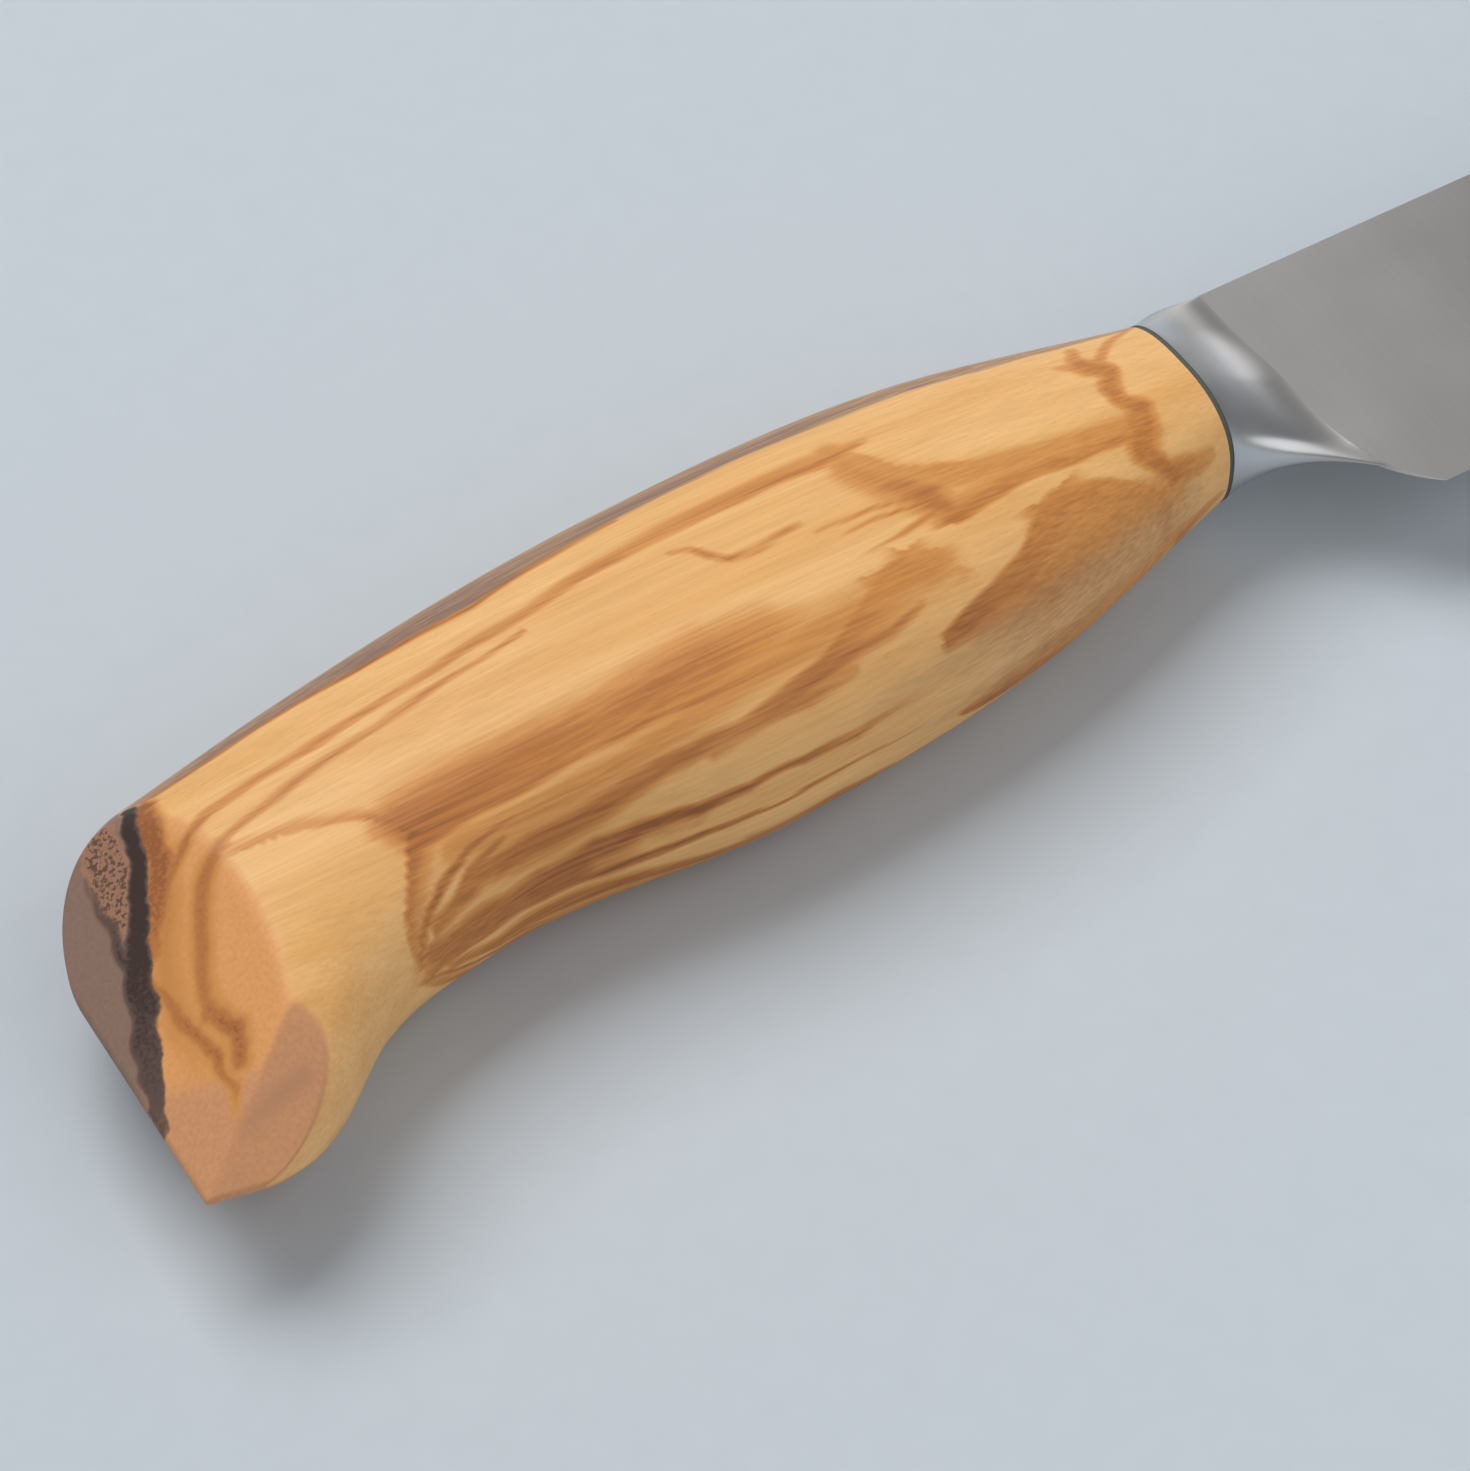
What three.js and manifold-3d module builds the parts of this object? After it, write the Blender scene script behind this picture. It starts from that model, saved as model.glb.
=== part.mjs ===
// Steak knife with a one-piece olive wood handle, a polished steel bolster and a hidden tang.
// Units are millimetres. +X runs from the butt to the tip, +Y from the edge to the spine, +Z up.
// The knife lies on its side, as it does beside a plate.
import * as THREE from "three";
import { mergeVertices } from "three/addons/utils/BufferGeometryUtils.js";
import Module from "manifold-3d";

const wasm = await Module();
wasm.setup();

// Driving dimensions. Stations run along X from the butt edge. Crests are heights above the tang axis
// on the spine side, and depths are heights below it on the edge side.

// Side view of the wooden handle
const HANDLE_LENGTH = 95.5;
const BUTT_CREST = 3.4;
const BUTT_DEPTH = 25.6;
const NECK_CREST_STATION = 24;
const NECK_CREST = 8;
const PALM_CREST_STATION = 50;
const PALM_CREST = 11;
const FRONT_CREST_STATION = 74;
const FRONT_CREST = 11.2;
const BUTT_CORNER_LENGTH = 9.1;
const BUTT_CORNER_DROP = 11.3;
const BEAK_STATION = 4.1;
const BEAK_DEPTH = 26.3;
const BEAK_BACK_STATION = 11;
const BEAK_BACK_DEPTH = 23.6;
const HOOK_STATION = 17.5;
const HOOK_DEPTH = 18.5;
const NECK_STATION = 28;
const NECK_DEPTH = 15.4;
const PALM_STATION = 52;
const PALM_DEPTH = 16.1;
const FRONT_STATION = 76;
const FRONT_DEPTH = 13.4;

// Thickness of the wooden handle
const POMMEL_STATION = 12;
const POMMEL_THICKNESS = 16;
const PALM_THICKNESS = 19.8;
const SHOULDER_STATION = 78;
const SHOULDER_THICKNESS = 17.2;
const SIDE_FLAT_DEPTH = 0.3;
const GRIP_FULLNESS = 2.5;

// Bevels of the butt and its beak
const END_BEVEL_ANGLE = THREE.MathUtils.degToRad(32.2);
const BEAK_BEVEL_ANGLE = THREE.MathUtils.degToRad(36.5);
const BEAK_BEVEL_TURN = THREE.MathUtils.degToRad(12);
const BEAK_BEVEL_DEPTH = 25.5;
const BEVEL_NOSE_RADIUS = 0.6;

// Junction of wood, liner and bolster: one oval shared by all three
const JUNCTION_CREST = 7.4;
const JUNCTION_DEPTH = 7.6;
const JUNCTION_THICKNESS = 12.4;
const LINER_THICKNESS = 0.4;

// Bolster
const BOLSTER_LENGTH = 8.3;
const BOLSTER_WAIST_THICKNESS = 7.4;
const BOLSTER_FRONT_THICKNESS = 3.6;
const BOLSTER_HEEL_THICKNESS = 1.6;
const BOLSTER_FRONT_FULLNESS = 4.5;
const PLUNGE_LAND = 1;
const PLUNGE_SWEEP = 7;

// Blade and tang
const SPINE_HEIGHT = 8.7;
const HEEL_REACH = 5;
const HEEL_DEPTH = 16.4;
const BLADE_LENGTH = 116;
const SPINE_STRAIGHT = 38;
const SPINE_DROP_POWER = 2;
const EDGE_STRAIGHT = 30;
const EDGE_RISE_POWER = 2.4;
const TIP_DEPTH = 4;
const TIP_HEIGHT = 0.6;
const SPINE_THICKNESS = 2.2;
const TIP_THICKNESS = 0.9;
const BEHIND_EDGE_THICKNESS = 0.5;
const EDGE_THICKNESS = 0.1;
const EDGE_BEVEL_HEIGHT = 3;
const TANG_HEIGHT = 8;
const TANG_END_HEIGHT = 5;
const TANG_DEPTH_IN_WOOD = 60;
const TANG_NOTCH_DEPTH = 0.8;
const TANG_NOTCHES = 4;

// Bedding of the tang
const RESIN_THICKNESS = 0.9;
const RESIN_END = 3;
const FIT_GAP = 0.3;

// Facets round a section, along each piece and round a bevel's nose
const RING_POINTS = 44;
const CORNER_STEPS = 8;
const GRIP_STEPS = 30;
const BOLSTER_STEPS = 14;
const PLUNGE_STEPS = 12;
const BLADE_STEPS = 22;
const NOSE_STEPS = 2;

// Places and sizes that follow from the ones above
const bolsterBack = HANDLE_LENGTH + LINER_THICKNESS;
const bolsterFront = bolsterBack + BOLSTER_LENGTH;
const heelStation = bolsterFront + HEEL_REACH;
const tipStation = heelStation + BLADE_LENGTH;
const tangEnd = HANDLE_LENGTH - TANG_DEPTH_IN_WOOD;
const resinEnd = tangEnd - FIT_GAP - RESIN_END;
const mortiseEnd = resinEnd - FIT_GAP;
const farAway = 2 * tipStation;

// A smooth curve through [station, value] points, cubic between them, with a weighted mean slope at each.
function curveThrough(points) {
  const last = points.length - 1;
  const span = (i) => points[i + 1][0] - points[i][0];
  const rise = (i) => (points[i + 1][1] - points[i][1]) / span(i);
  const slopes = points.map((_, i) => {
    if (i === 0) return rise(0);
    if (i === last) return rise(last - 1);
    return (rise(i - 1) * span(i) + rise(i) * span(i - 1)) / (span(i - 1) + span(i));
  });
  return (x) => {
    let i = 0;
    while (i < last - 1 && x > points[i + 1][0]) i += 1;
    const t = (x - points[i][0]) / span(i);
    const leave = (1 + 2 * t) * points[i][1] + t * span(i) * slopes[i];
    const arrive = (3 - 2 * t) * points[i + 1][1] + (t - 1) * span(i) * slopes[i + 1];
    return (1 - t) ** 2 * leave + t ** 2 * arrive;
  };
}

function evenStations(start, end, steps) {
  return Array.from({ length: steps + 1 }, (_, i) => THREE.MathUtils.lerp(start, end, i / steps));
}

// The oval section at one station: a superellipse between a crest and a belly line.
function ovalSection(x, crest, belly, thickness, fullness) {
  const middle = (crest + belly) / 2;
  const reach = (crest - belly) / 2;
  const bulge = (value) => Math.sign(value) * Math.abs(value) ** (2 / fullness);
  return Array.from({ length: RING_POINTS }, (_, i) => {
    const angle = (2 * Math.PI * i) / RING_POINTS;
    const y = middle + reach * bulge(Math.cos(angle));
    const z = (thickness / 2) * bulge(Math.sin(angle));
    return new THREE.Vector3(x, y, z);
  });
}

// A closed skin over a row of sections with equal point counts, capped round the middle of each end.
function loft(sections) {
  const count = sections[0].length;
  const vertices = sections.flat();
  const faces = [];
  for (let ring = 0; ring < sections.length - 1; ring += 1) {
    for (let i = 0; i < count; i += 1) {
      const a = ring * count + i;
      const b = ring * count + ((i + 1) % count);
      faces.push(a, b + count, a + count);
      faces.push(a, b, b + count);
    }
  }
  const cap = (ring, faceForward) => {
    const middle = new THREE.Vector3();
    sections[ring].forEach((point) => middle.addScaledVector(point, 1 / count));
    const hub = vertices.push(middle) - 1;
    for (let i = 0; i < count; i += 1) {
      const a = ring * count + i;
      const b = ring * count + ((i + 1) % count);
      faces.push(hub, faceForward ? a : b, faceForward ? b : a);
    }
  };
  cap(0, false);
  cap(sections.length - 1, true);
  return new THREE.BufferGeometry().setFromPoints(vertices).setIndex(faces);
}

// A flat outline in the XY plane made a plate of a given thickness about z = 0.
function plate(shape, thickness, curveSegments) {
  const options = { depth: thickness, bevelEnabled: false, curveSegments };
  return new THREE.ExtrudeGeometry(shape, options).translate(0, 0, -thickness / 2);
}

// A bar on the tang axis between two stations.
function bar(start, end, height, thickness) {
  return new THREE.BoxGeometry(end - start, height, thickness).translate((start + end) / 2, 0, 0);
}

function solid(geometry) {
  const bare = geometry.clone();
  bare.deleteAttribute("normal");
  bare.deleteAttribute("uv");
  const merged = mergeVertices(bare);
  const vertProperties = new Float32Array(merged.attributes.position.array);
  const triVerts = new Uint32Array(merged.index.array);
  return new wasm.Manifold(new wasm.Mesh({ numProp: 3, vertProperties, triVerts }));
}

function named(name, body, material) {
  const { vertProperties, triVerts } = body.getMesh();
  const geometry = new THREE.BufferGeometry();
  geometry.setAttribute("position", new THREE.BufferAttribute(vertProperties, 3));
  geometry.setIndex(new THREE.BufferAttribute(triVerts, 1));
  geometry.computeVertexNormals();
  const mesh = new THREE.Mesh(geometry, material);
  mesh.name = name;
  return mesh;
}

// Olive wood handle: an oval grip, full in the palm, that ends in a down-turned beak cut by two pairs of bevels.
const gripCrest = curveThrough([
  [0, BUTT_CREST],
  [NECK_CREST_STATION, NECK_CREST],
  [PALM_CREST_STATION, PALM_CREST],
  [FRONT_CREST_STATION, FRONT_CREST],
  [HANDLE_LENGTH, JUNCTION_CREST],
]);
const gripBelly = curveThrough([
  [0, -BUTT_DEPTH],
  [BEAK_STATION, -BEAK_DEPTH],
  [BEAK_BACK_STATION, -BEAK_BACK_DEPTH],
  [HOOK_STATION, -HOOK_DEPTH],
  [NECK_STATION, -NECK_DEPTH],
  [PALM_STATION, -PALM_DEPTH],
  [FRONT_STATION, -FRONT_DEPTH],
  [HANDLE_LENGTH, -JUNCTION_DEPTH],
]);
const gripThickness = curveThrough([
  [0, POMMEL_THICKNESS],
  [POMMEL_STATION, POMMEL_THICKNESS],
  [PALM_STATION, PALM_THICKNESS],
  [SHOULDER_STATION, SHOULDER_THICKNESS],
  [HANDLE_LENGTH, JUNCTION_THICKNESS],
]);

// The crest drops round a quarter of an ellipse into the butt.
function gripSection(x) {
  const intoCorner = THREE.MathUtils.clamp(1 - x / BUTT_CORNER_LENGTH, 0, 1);
  const cornerDrop = BUTT_CORNER_DROP * (1 - Math.sqrt(1 - intoCorner ** 2));
  return ovalSection(x, gripCrest(x) - cornerDrop, gripBelly(x), gripThickness(x), GRIP_FULLNESS);
}

// Two mirrored planes that meet in a slightly rounded edge: a wedge that opens along +X from x = 0.
function bevelWedge(halfAngle) {
  const rise =
    (farAway - BEVEL_NOSE_RADIUS) * Math.tan(halfAngle) + BEVEL_NOSE_RADIUS / Math.cos(halfAngle);
  const touch = Math.PI / 2 + halfAngle;
  const wedge = new THREE.Shape();
  wedge.moveTo(farAway, -rise);
  wedge.lineTo(farAway, rise);
  wedge.absarc(BEVEL_NOSE_RADIUS, 0, BEVEL_NOSE_RADIUS, touch, 2 * Math.PI - touch, false);
  return plate(wedge, farAway, NOSE_STEPS).rotateX(Math.PI / 2);
}

function handleBody() {
  const cornerStations = evenStations(0, Math.PI / 2, CORNER_STEPS)
    .slice(0, -1)
    .map((angle) => BUTT_CORNER_LENGTH * (1 - Math.cos(angle)));
  const gripStations = evenStations(BUTT_CORNER_LENGTH, HANDLE_LENGTH, GRIP_STEPS);
  const stations = [-BEVEL_NOSE_RADIUS, ...cornerStations, ...gripStations];
  const endBevels = bevelWedge(END_BEVEL_ANGLE);
  const beakBevels = bevelWedge(BEAK_BEVEL_ANGLE)
    .rotateZ(Math.PI / 2 - BEAK_BEVEL_TURN)
    .translate(0, -BEAK_BEVEL_DEPTH, 0);
  const sideFlats = new THREE.BoxGeometry(farAway, farAway, PALM_THICKNESS - 2 * SIDE_FLAT_DEPTH);
  const bedding = 2 * (RESIN_THICKNESS + 2 * FIT_GAP);
  const mortise = bar(mortiseEnd, bolsterBack, TANG_HEIGHT + bedding, SPINE_THICKNESS + bedding);
  return solid(loft(stations.map(gripSection)))
    .intersect(solid(endBevels))
    .intersect(solid(beakBevels))
    .intersect(solid(sideFlats))
    .subtract(solid(mortise));
}

// Liner: a fibre washer cut to the junction oval, pierced for the tang.
function junctionSection(x) {
  return ovalSection(x, JUNCTION_CREST, -JUNCTION_DEPTH, JUNCTION_THICKNESS, GRIP_FULLNESS);
}

function tangSlot() {
  return bar(tangEnd, heelStation, TANG_HEIGHT + 2 * FIT_GAP, SPINE_THICKNESS + 2 * FIT_GAP);
}

function linerBody() {
  const washer = loft([junctionSection(HANDLE_LENGTH), junctionSection(bolsterBack)]);
  return solid(washer).subtract(solid(tangSlot()));
}

// Bolster: a saddle-shaped collar from the junction oval to the plunge line, its underside sweeping to the heel.
const bolsterThickness = curveThrough([
  [bolsterBack, JUNCTION_THICKNESS],
  [(bolsterBack + bolsterFront) / 2, BOLSTER_WAIST_THICKNESS],
  [bolsterFront, BOLSTER_FRONT_THICKNESS],
  [heelStation, BOLSTER_HEEL_THICKNESS],
]);

function bolsterSection(x) {
  const toFront = Math.min(1, (x - bolsterBack) / BOLSTER_LENGTH);
  const toHeel = (x - bolsterBack) / (heelStation - bolsterBack);
  const ease = toFront * (2 - toFront);
  const crest = THREE.MathUtils.lerp(JUNCTION_CREST, SPINE_HEIGHT, ease);
  const belly = -THREE.MathUtils.lerp(JUNCTION_DEPTH, HEEL_DEPTH, toHeel ** 2);
  const fullness = THREE.MathUtils.lerp(GRIP_FULLNESS, BOLSTER_FRONT_FULLNESS, toFront);
  return ovalSection(x, crest, belly, bolsterThickness(x), fullness);
}

// Plunge line: straight down past the tang, then sweeping forward to the heel.
function drawPlungeLine(shape, gap) {
  const land = -TANG_HEIGHT / 2 - PLUNGE_LAND;
  shape.lineTo(bolsterFront + gap, land);
  shape.quadraticCurveTo(bolsterFront + gap, land - PLUNGE_SWEEP, heelStation + gap, -HEEL_DEPTH);
}

function bolsterBody() {
  const behindPlunge = new THREE.Shape();
  behindPlunge.moveTo(bolsterFront, farAway);
  drawPlungeLine(behindPlunge, 0);
  behindPlunge.lineTo(heelStation, -farAway);
  behindPlunge.lineTo(0, -farAway);
  behindPlunge.lineTo(0, farAway);
  const collar = loft(evenStations(bolsterBack, heelStation, BOLSTER_STEPS).map(bolsterSection));
  return solid(collar)
    .intersect(solid(plate(behindPlunge, farAway, PLUNGE_STEPS)))
    .subtract(solid(tangSlot()));
}

// Tang: narrows towards its end in the wood, with notches on both edges that key it in the resin.
function tangEdge(side, grow) {
  const halfHeight = curveThrough([
    [tangEnd, TANG_END_HEIGHT / 2 + grow],
    [HANDLE_LENGTH, TANG_HEIGHT / 2 + grow],
  ]);
  const pitch = TANG_DEPTH_IN_WOOD / (TANG_NOTCHES + 1);
  const points = [];
  points.push([bolsterFront + FIT_GAP, side * (TANG_HEIGHT / 2 + grow)]);
  points.push([HANDLE_LENGTH, side * (TANG_HEIGHT / 2 + grow)]);
  for (let i = 1; i <= TANG_NOTCHES; i += 1) {
    const notch = HANDLE_LENGTH - i * pitch;
    points.push([notch + TANG_NOTCH_DEPTH, side * halfHeight(notch + TANG_NOTCH_DEPTH)]);
    points.push([notch, side * (halfHeight(notch) - TANG_NOTCH_DEPTH)]);
    points.push([notch - TANG_NOTCH_DEPTH, side * halfHeight(notch - TANG_NOTCH_DEPTH)]);
  }
  points.push([tangEnd - grow, side * halfHeight(tangEnd)]);
  return points;
}

function drawTang(shape, grow) {
  tangEdge(1, grow).forEach(([x, y]) => shape.lineTo(x, y));
  tangEdge(-1, grow)
    .reverse()
    .forEach(([x, y]) => shape.lineTo(x, y));
}

// Blade: the spine runs straight and then drops to the point, and the edge rises to meet it.
function spineAt(x) {
  const start = heelStation + SPINE_STRAIGHT;
  const t = Math.max(0, (x - start) / (tipStation - start));
  return THREE.MathUtils.lerp(SPINE_HEIGHT, TIP_HEIGHT / 2 - TIP_DEPTH, t ** SPINE_DROP_POWER);
}

function edgeAt(x) {
  const start = heelStation + EDGE_STRAIGHT;
  const t = Math.max(0, (x - start) / (tipStation - start));
  return THREE.MathUtils.lerp(-HEEL_DEPTH, -TIP_HEIGHT / 2 - TIP_DEPTH, t ** EDGE_RISE_POWER);
}

function bladeSection(x, corners) {
  return corners.map(([y, z]) => new THREE.Vector3(x, y, z));
}

// Flat ground: full at the spine, thin behind the edge, then the sharpened bevel.
function groundSection(x) {
  const spine = spineAt(x);
  const edge = edgeAt(x);
  const bevelTop = edge + Math.min(EDGE_BEVEL_HEIGHT, (spine - edge) / 2);
  const along = THREE.MathUtils.clamp((x - heelStation) / BLADE_LENGTH, 0, 1);
  const atSpine = THREE.MathUtils.lerp(SPINE_THICKNESS, TIP_THICKNESS, along) / 2;
  const atBevel = BEHIND_EDGE_THICKNESS / 2;
  const atEdge = EDGE_THICKNESS / 2;
  return bladeSection(x, [
    [spine, -atSpine],
    [spine, atSpine],
    [bevelTop, atBevel],
    [edge, atEdge],
    [edge, -atEdge],
    [bevelTop, -atBevel],
  ]);
}

// Unground steel inside the bolster and the wood.
function blankSection(x) {
  const half = SPINE_THICKNESS / 2;
  return bladeSection(x, [
    [TANG_HEIGHT, -half],
    [TANG_HEIGHT, half],
    [0, half],
    [-TANG_HEIGHT, half],
    [-TANG_HEIGHT, -half],
    [0, -half],
  ]);
}

// The blank's outline is cut from bar, and the faces in front of the bolster are ground down from it.
function bladeBody() {
  const blank = new THREE.Shape();
  blank.moveTo(farAway, farAway);
  blank.lineTo(bolsterFront + FIT_GAP, farAway);
  drawTang(blank, 0);
  drawPlungeLine(blank, FIT_GAP);
  blank.lineTo(heelStation + FIT_GAP, -farAway);
  blank.lineTo(farAway, -farAway);
  const ground = loft([
    blankSection(tangEnd - SPINE_THICKNESS),
    blankSection(bolsterFront - SPINE_THICKNESS),
    ...evenStations(bolsterFront, tipStation, BLADE_STEPS).map(groundSection),
  ]);
  return solid(ground).intersect(solid(plate(blank, 2 * SPINE_THICKNESS, PLUNGE_STEPS)));
}

// Bedding resin: the cast that fills the mortise round the tang.
function resinBody() {
  const cast = 2 * (RESIN_THICKNESS + FIT_GAP);
  const filling = bar(resinEnd, HANDLE_LENGTH, TANG_HEIGHT + cast, SPINE_THICKNESS + cast);
  const tangSpace = new THREE.Shape();
  tangSpace.moveTo(heelStation, -TANG_HEIGHT / 2 - FIT_GAP);
  tangSpace.lineTo(heelStation, TANG_HEIGHT / 2 + FIT_GAP);
  drawTang(tangSpace, FIT_GAP);
  return solid(filling).subtract(solid(plate(tangSpace, SPINE_THICKNESS + 2 * FIT_GAP, 1)));
}

// Finishes: oiled wood, satin ground steel, polished steel, dark fibre and amber resin
const oliveWood = new THREE.MeshStandardMaterial({ color: "#d39a57", roughness: 0.45, metalness: 0 });
const satinSteel = new THREE.MeshStandardMaterial({ color: "#9a9897", roughness: 0.35, metalness: 1 });
const polishedSteel = new THREE.MeshStandardMaterial({ color: "#c4c5c8", roughness: 0.15, metalness: 1 });
const darkFibre = new THREE.MeshStandardMaterial({ color: "#3b3d38", roughness: 0.7, metalness: 0 });
const amberResin = new THREE.MeshStandardMaterial({ color: "#b9a06a", roughness: 0.3, metalness: 0 });

const knife = new THREE.Group();
knife.add(
  named("handle", handleBody(), oliveWood),
  named("bolster_liner", linerBody(), darkFibre),
  named("bolster", bolsterBody(), polishedSteel),
  named("blade", bladeBody(), satinSteel),
  named("tang_epoxy", resinBody(), amberResin),
);

// The origin is under the middle of the knife's box, on the surface that it lies on.
const reach = new THREE.Box3().setFromObject(knife);
const middle = reach.getCenter(new THREE.Vector3());
knife.position.set(-middle.x, -middle.y, -reach.min.z);

const steakKnife = new THREE.Group();
steakKnife.add(knife);

export default steakKnife;
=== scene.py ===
import math
import bmesh
import bpy
import numpy as np
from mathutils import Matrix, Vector, noise


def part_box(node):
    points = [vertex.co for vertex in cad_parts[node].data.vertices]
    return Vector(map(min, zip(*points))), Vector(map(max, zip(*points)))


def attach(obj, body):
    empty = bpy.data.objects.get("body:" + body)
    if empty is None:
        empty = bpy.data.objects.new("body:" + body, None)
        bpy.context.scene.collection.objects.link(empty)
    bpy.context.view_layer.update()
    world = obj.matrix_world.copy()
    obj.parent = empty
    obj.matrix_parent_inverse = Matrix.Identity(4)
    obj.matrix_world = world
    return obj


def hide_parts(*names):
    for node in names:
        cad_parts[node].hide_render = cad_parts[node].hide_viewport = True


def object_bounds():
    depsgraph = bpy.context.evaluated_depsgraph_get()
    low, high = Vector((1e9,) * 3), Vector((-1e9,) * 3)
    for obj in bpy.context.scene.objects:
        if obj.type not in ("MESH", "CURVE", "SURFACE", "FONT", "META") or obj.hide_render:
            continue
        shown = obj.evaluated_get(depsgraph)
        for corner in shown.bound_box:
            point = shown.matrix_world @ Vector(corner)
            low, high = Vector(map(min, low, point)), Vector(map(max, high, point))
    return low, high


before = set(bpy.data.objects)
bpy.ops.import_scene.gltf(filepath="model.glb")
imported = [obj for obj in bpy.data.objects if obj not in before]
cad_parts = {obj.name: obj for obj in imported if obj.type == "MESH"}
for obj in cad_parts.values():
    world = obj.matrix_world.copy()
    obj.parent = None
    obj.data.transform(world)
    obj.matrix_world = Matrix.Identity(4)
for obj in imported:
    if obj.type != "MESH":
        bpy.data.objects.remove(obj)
cad_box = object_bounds()

# Blade and tang
# One piece of stainless steel: a blade ground flat on both faces down to a sharpened bevel, and a notched
# stick tang that runs through the bolster and is bedded in the wood.
MM = 0.001
JUNCTION_CREST = 7.4
handle_low, handle_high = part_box("handle")
liner_low, liner_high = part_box("bolster_liner")
blade_low, blade_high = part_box("blade")
axis_height = (handle_low[2] + handle_high[2]) / 2
knife_origin = np.array([handle_low[0], liner_high[1] - JUNCTION_CREST * MM, axis_height])


def in_frame(x, y, z):
    """Millimetres from the butt edge, the tang axis and the middle plane, as points in the frame's metres."""
    return np.stack(np.broadcast_arrays(x, y, z), -1).reshape(-1, 3) * MM + knife_origin


def station_of(corner):
    """A frame corner in millimetres from the knife's origin."""
    return (np.array(corner) - knife_origin) / MM


def add(tree, kind, inputs=None, **settings):
    """One node with its settings; inputs holds values, or sockets to link, by name or place."""
    node = tree.nodes.new(kind)
    for name, value in settings.items():
        setattr(node, name, value)
    for name, value in (inputs or {}).items():
        if isinstance(value, bpy.types.NodeSocket):
            tree.links.new(value, node.inputs[name])
        else:
            node.inputs[name].default_value = value
    return node


def linear(colour):
    """An sRGB hex colour as linear RGBA."""
    parts = [int(colour[i:i + 2], 16) / 255 for i in (1, 3, 5)]
    return [c / 12.92 if c <= 0.04045 else ((c + 0.055) / 1.055) ** 2.4 for c in parts] + [1.0]


def surface(name):
    """A new material, its node tree, its shader, and the piece's own coordinates for its pattern."""
    material = bpy.data.materials.new(name)
    material.use_nodes = True
    tree = material.node_tree
    return material, tree, tree.nodes["Principled BSDF"], add(tree, "ShaderNodeTexCoord").outputs["Object"]


# Satin stainless steel: fine belt lines across the blade give a soft, slightly streaked grey sheen.
# The real lines are about 0.04 mm apart, and are drawn four times coarser so that they show.
BELT_LINE_SPACING = 0.16
BELT_LINE_LENGTH = 9
BELT_LINE_DEPTH = 0.003
SHEEN_CLOUD = 14
satin_steel, tree, shader, place = surface("satin_stainless_steel")
shader.inputs["Metallic"].default_value = 1
belt = add(tree, "ShaderNodeMapping", {
    "Vector": place,
    "Scale": (1 / (BELT_LINE_SPACING * MM), 1 / (BELT_LINE_LENGTH * MM), 1 / (BELT_LINE_LENGTH * MM)),
})
lines = add(tree, "ShaderNodeTexNoise", {
    "Vector": belt.outputs[0], "Scale": 1, "Detail": 3, "Roughness": 0.6,
})
cloud = add(tree, "ShaderNodeTexNoise", {"Vector": place, "Scale": 1 / (SHEEN_CLOUD * MM), "Detail": 2})
steel_tone = add(tree, "ShaderNodeMix", {
    "Factor": lines.outputs["Fac"], 6: linear("#c8c5c3"), 7: linear("#d2cfcd"),
}, data_type="RGBA")
steel_rough = add(tree, "ShaderNodeMapRange", {0: cloud.outputs["Fac"], 3: 0.3, 4: 0.4})
belt_bump = add(tree, "ShaderNodeBump", {
    "Height": lines.outputs["Fac"], "Distance": BELT_LINE_DEPTH * MM, "Strength": 0.5,
})
tree.links.new(steel_tone.outputs[2], shader.inputs["Base Color"])
tree.links.new(steel_rough.outputs[0], shader.inputs["Roughness"])
tree.links.new(belt_bump.outputs[0], shader.inputs["Normal"])

WOOD_FRONT = station_of(handle_high)[0]
BOLSTER_FRONT = 104.2
HEEL = 109.2
SPINE_HEIGHT = station_of(blade_high)[1]
HEEL_DEPTH = -station_of(blade_low)[1]
TIP = station_of(blade_high)[0]
TANG_END = station_of(blade_low)[0]
TANG_HEIGHT = 8
TANG_END_HEIGHT = 5
TANG_NOTCHES = 4
NOTCH_DEPTH = 0.8
TANG_THICKNESS = 1.5
SPINE_THICKNESS = 2.2
TIP_THICKNESS = 0.9
SPINE_CHAMFER = 0.15
BEHIND_EDGE = 0.5
EDGE_THICKNESS = 0.1
BEVEL_HEIGHT = 3
SPINE_STRAIGHT = 38
EDGE_STRAIGHT = 30
EDGE_RISE_POWER = 2.4
TIP_DEPTH = 4
TIP_HEIGHT = 0.6
PLUNGE_LAND = -TANG_HEIGHT / 2 - 1
PLUNGE_SWEEP = 7

# The plunge line leaves its straight stretch on a quadratic curve: land + slope t + bend t squared.
plunge_slope = -2 * PLUNGE_SWEEP
plunge_bend = 2 * PLUNGE_SWEEP - HEEL_DEPTH - PLUNGE_LAND

# The tang tapers in the wood, and its notches are cut in pairs.
notch_pitch = (WOOD_FRONT - TANG_END) / (TANG_NOTCHES + 1)
tang_top = [(BOLSTER_FRONT, TANG_HEIGHT / 2), (WOOD_FRONT, TANG_HEIGHT / 2)]
for i in range(1, TANG_NOTCHES + 1):
    for step, cut in ((1, 0), (0, NOTCH_DEPTH), (-1, 0)):
        x = WOOD_FRONT - i * notch_pitch + step * NOTCH_DEPTH
        half = np.interp(x, [TANG_END, WOOD_FRONT], [TANG_END_HEIGHT / 2, TANG_HEIGHT / 2])
        tang_top.append((x, half - cut))
tang_top.append((TANG_END, TANG_END_HEIGHT / 2))
tang_outline = np.array(tang_top + [(x, -y) for x, y in reversed(tang_top)])
count = len(tang_outline)
tang_sides = [in_frame(tang_outline[:, 0], tang_outline[:, 1], z * TANG_THICKNESS / 2) for z in (1, -1)]
tang_faces = [list(range(count)), list(range(2 * count - 1, count - 1, -1))]
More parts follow.
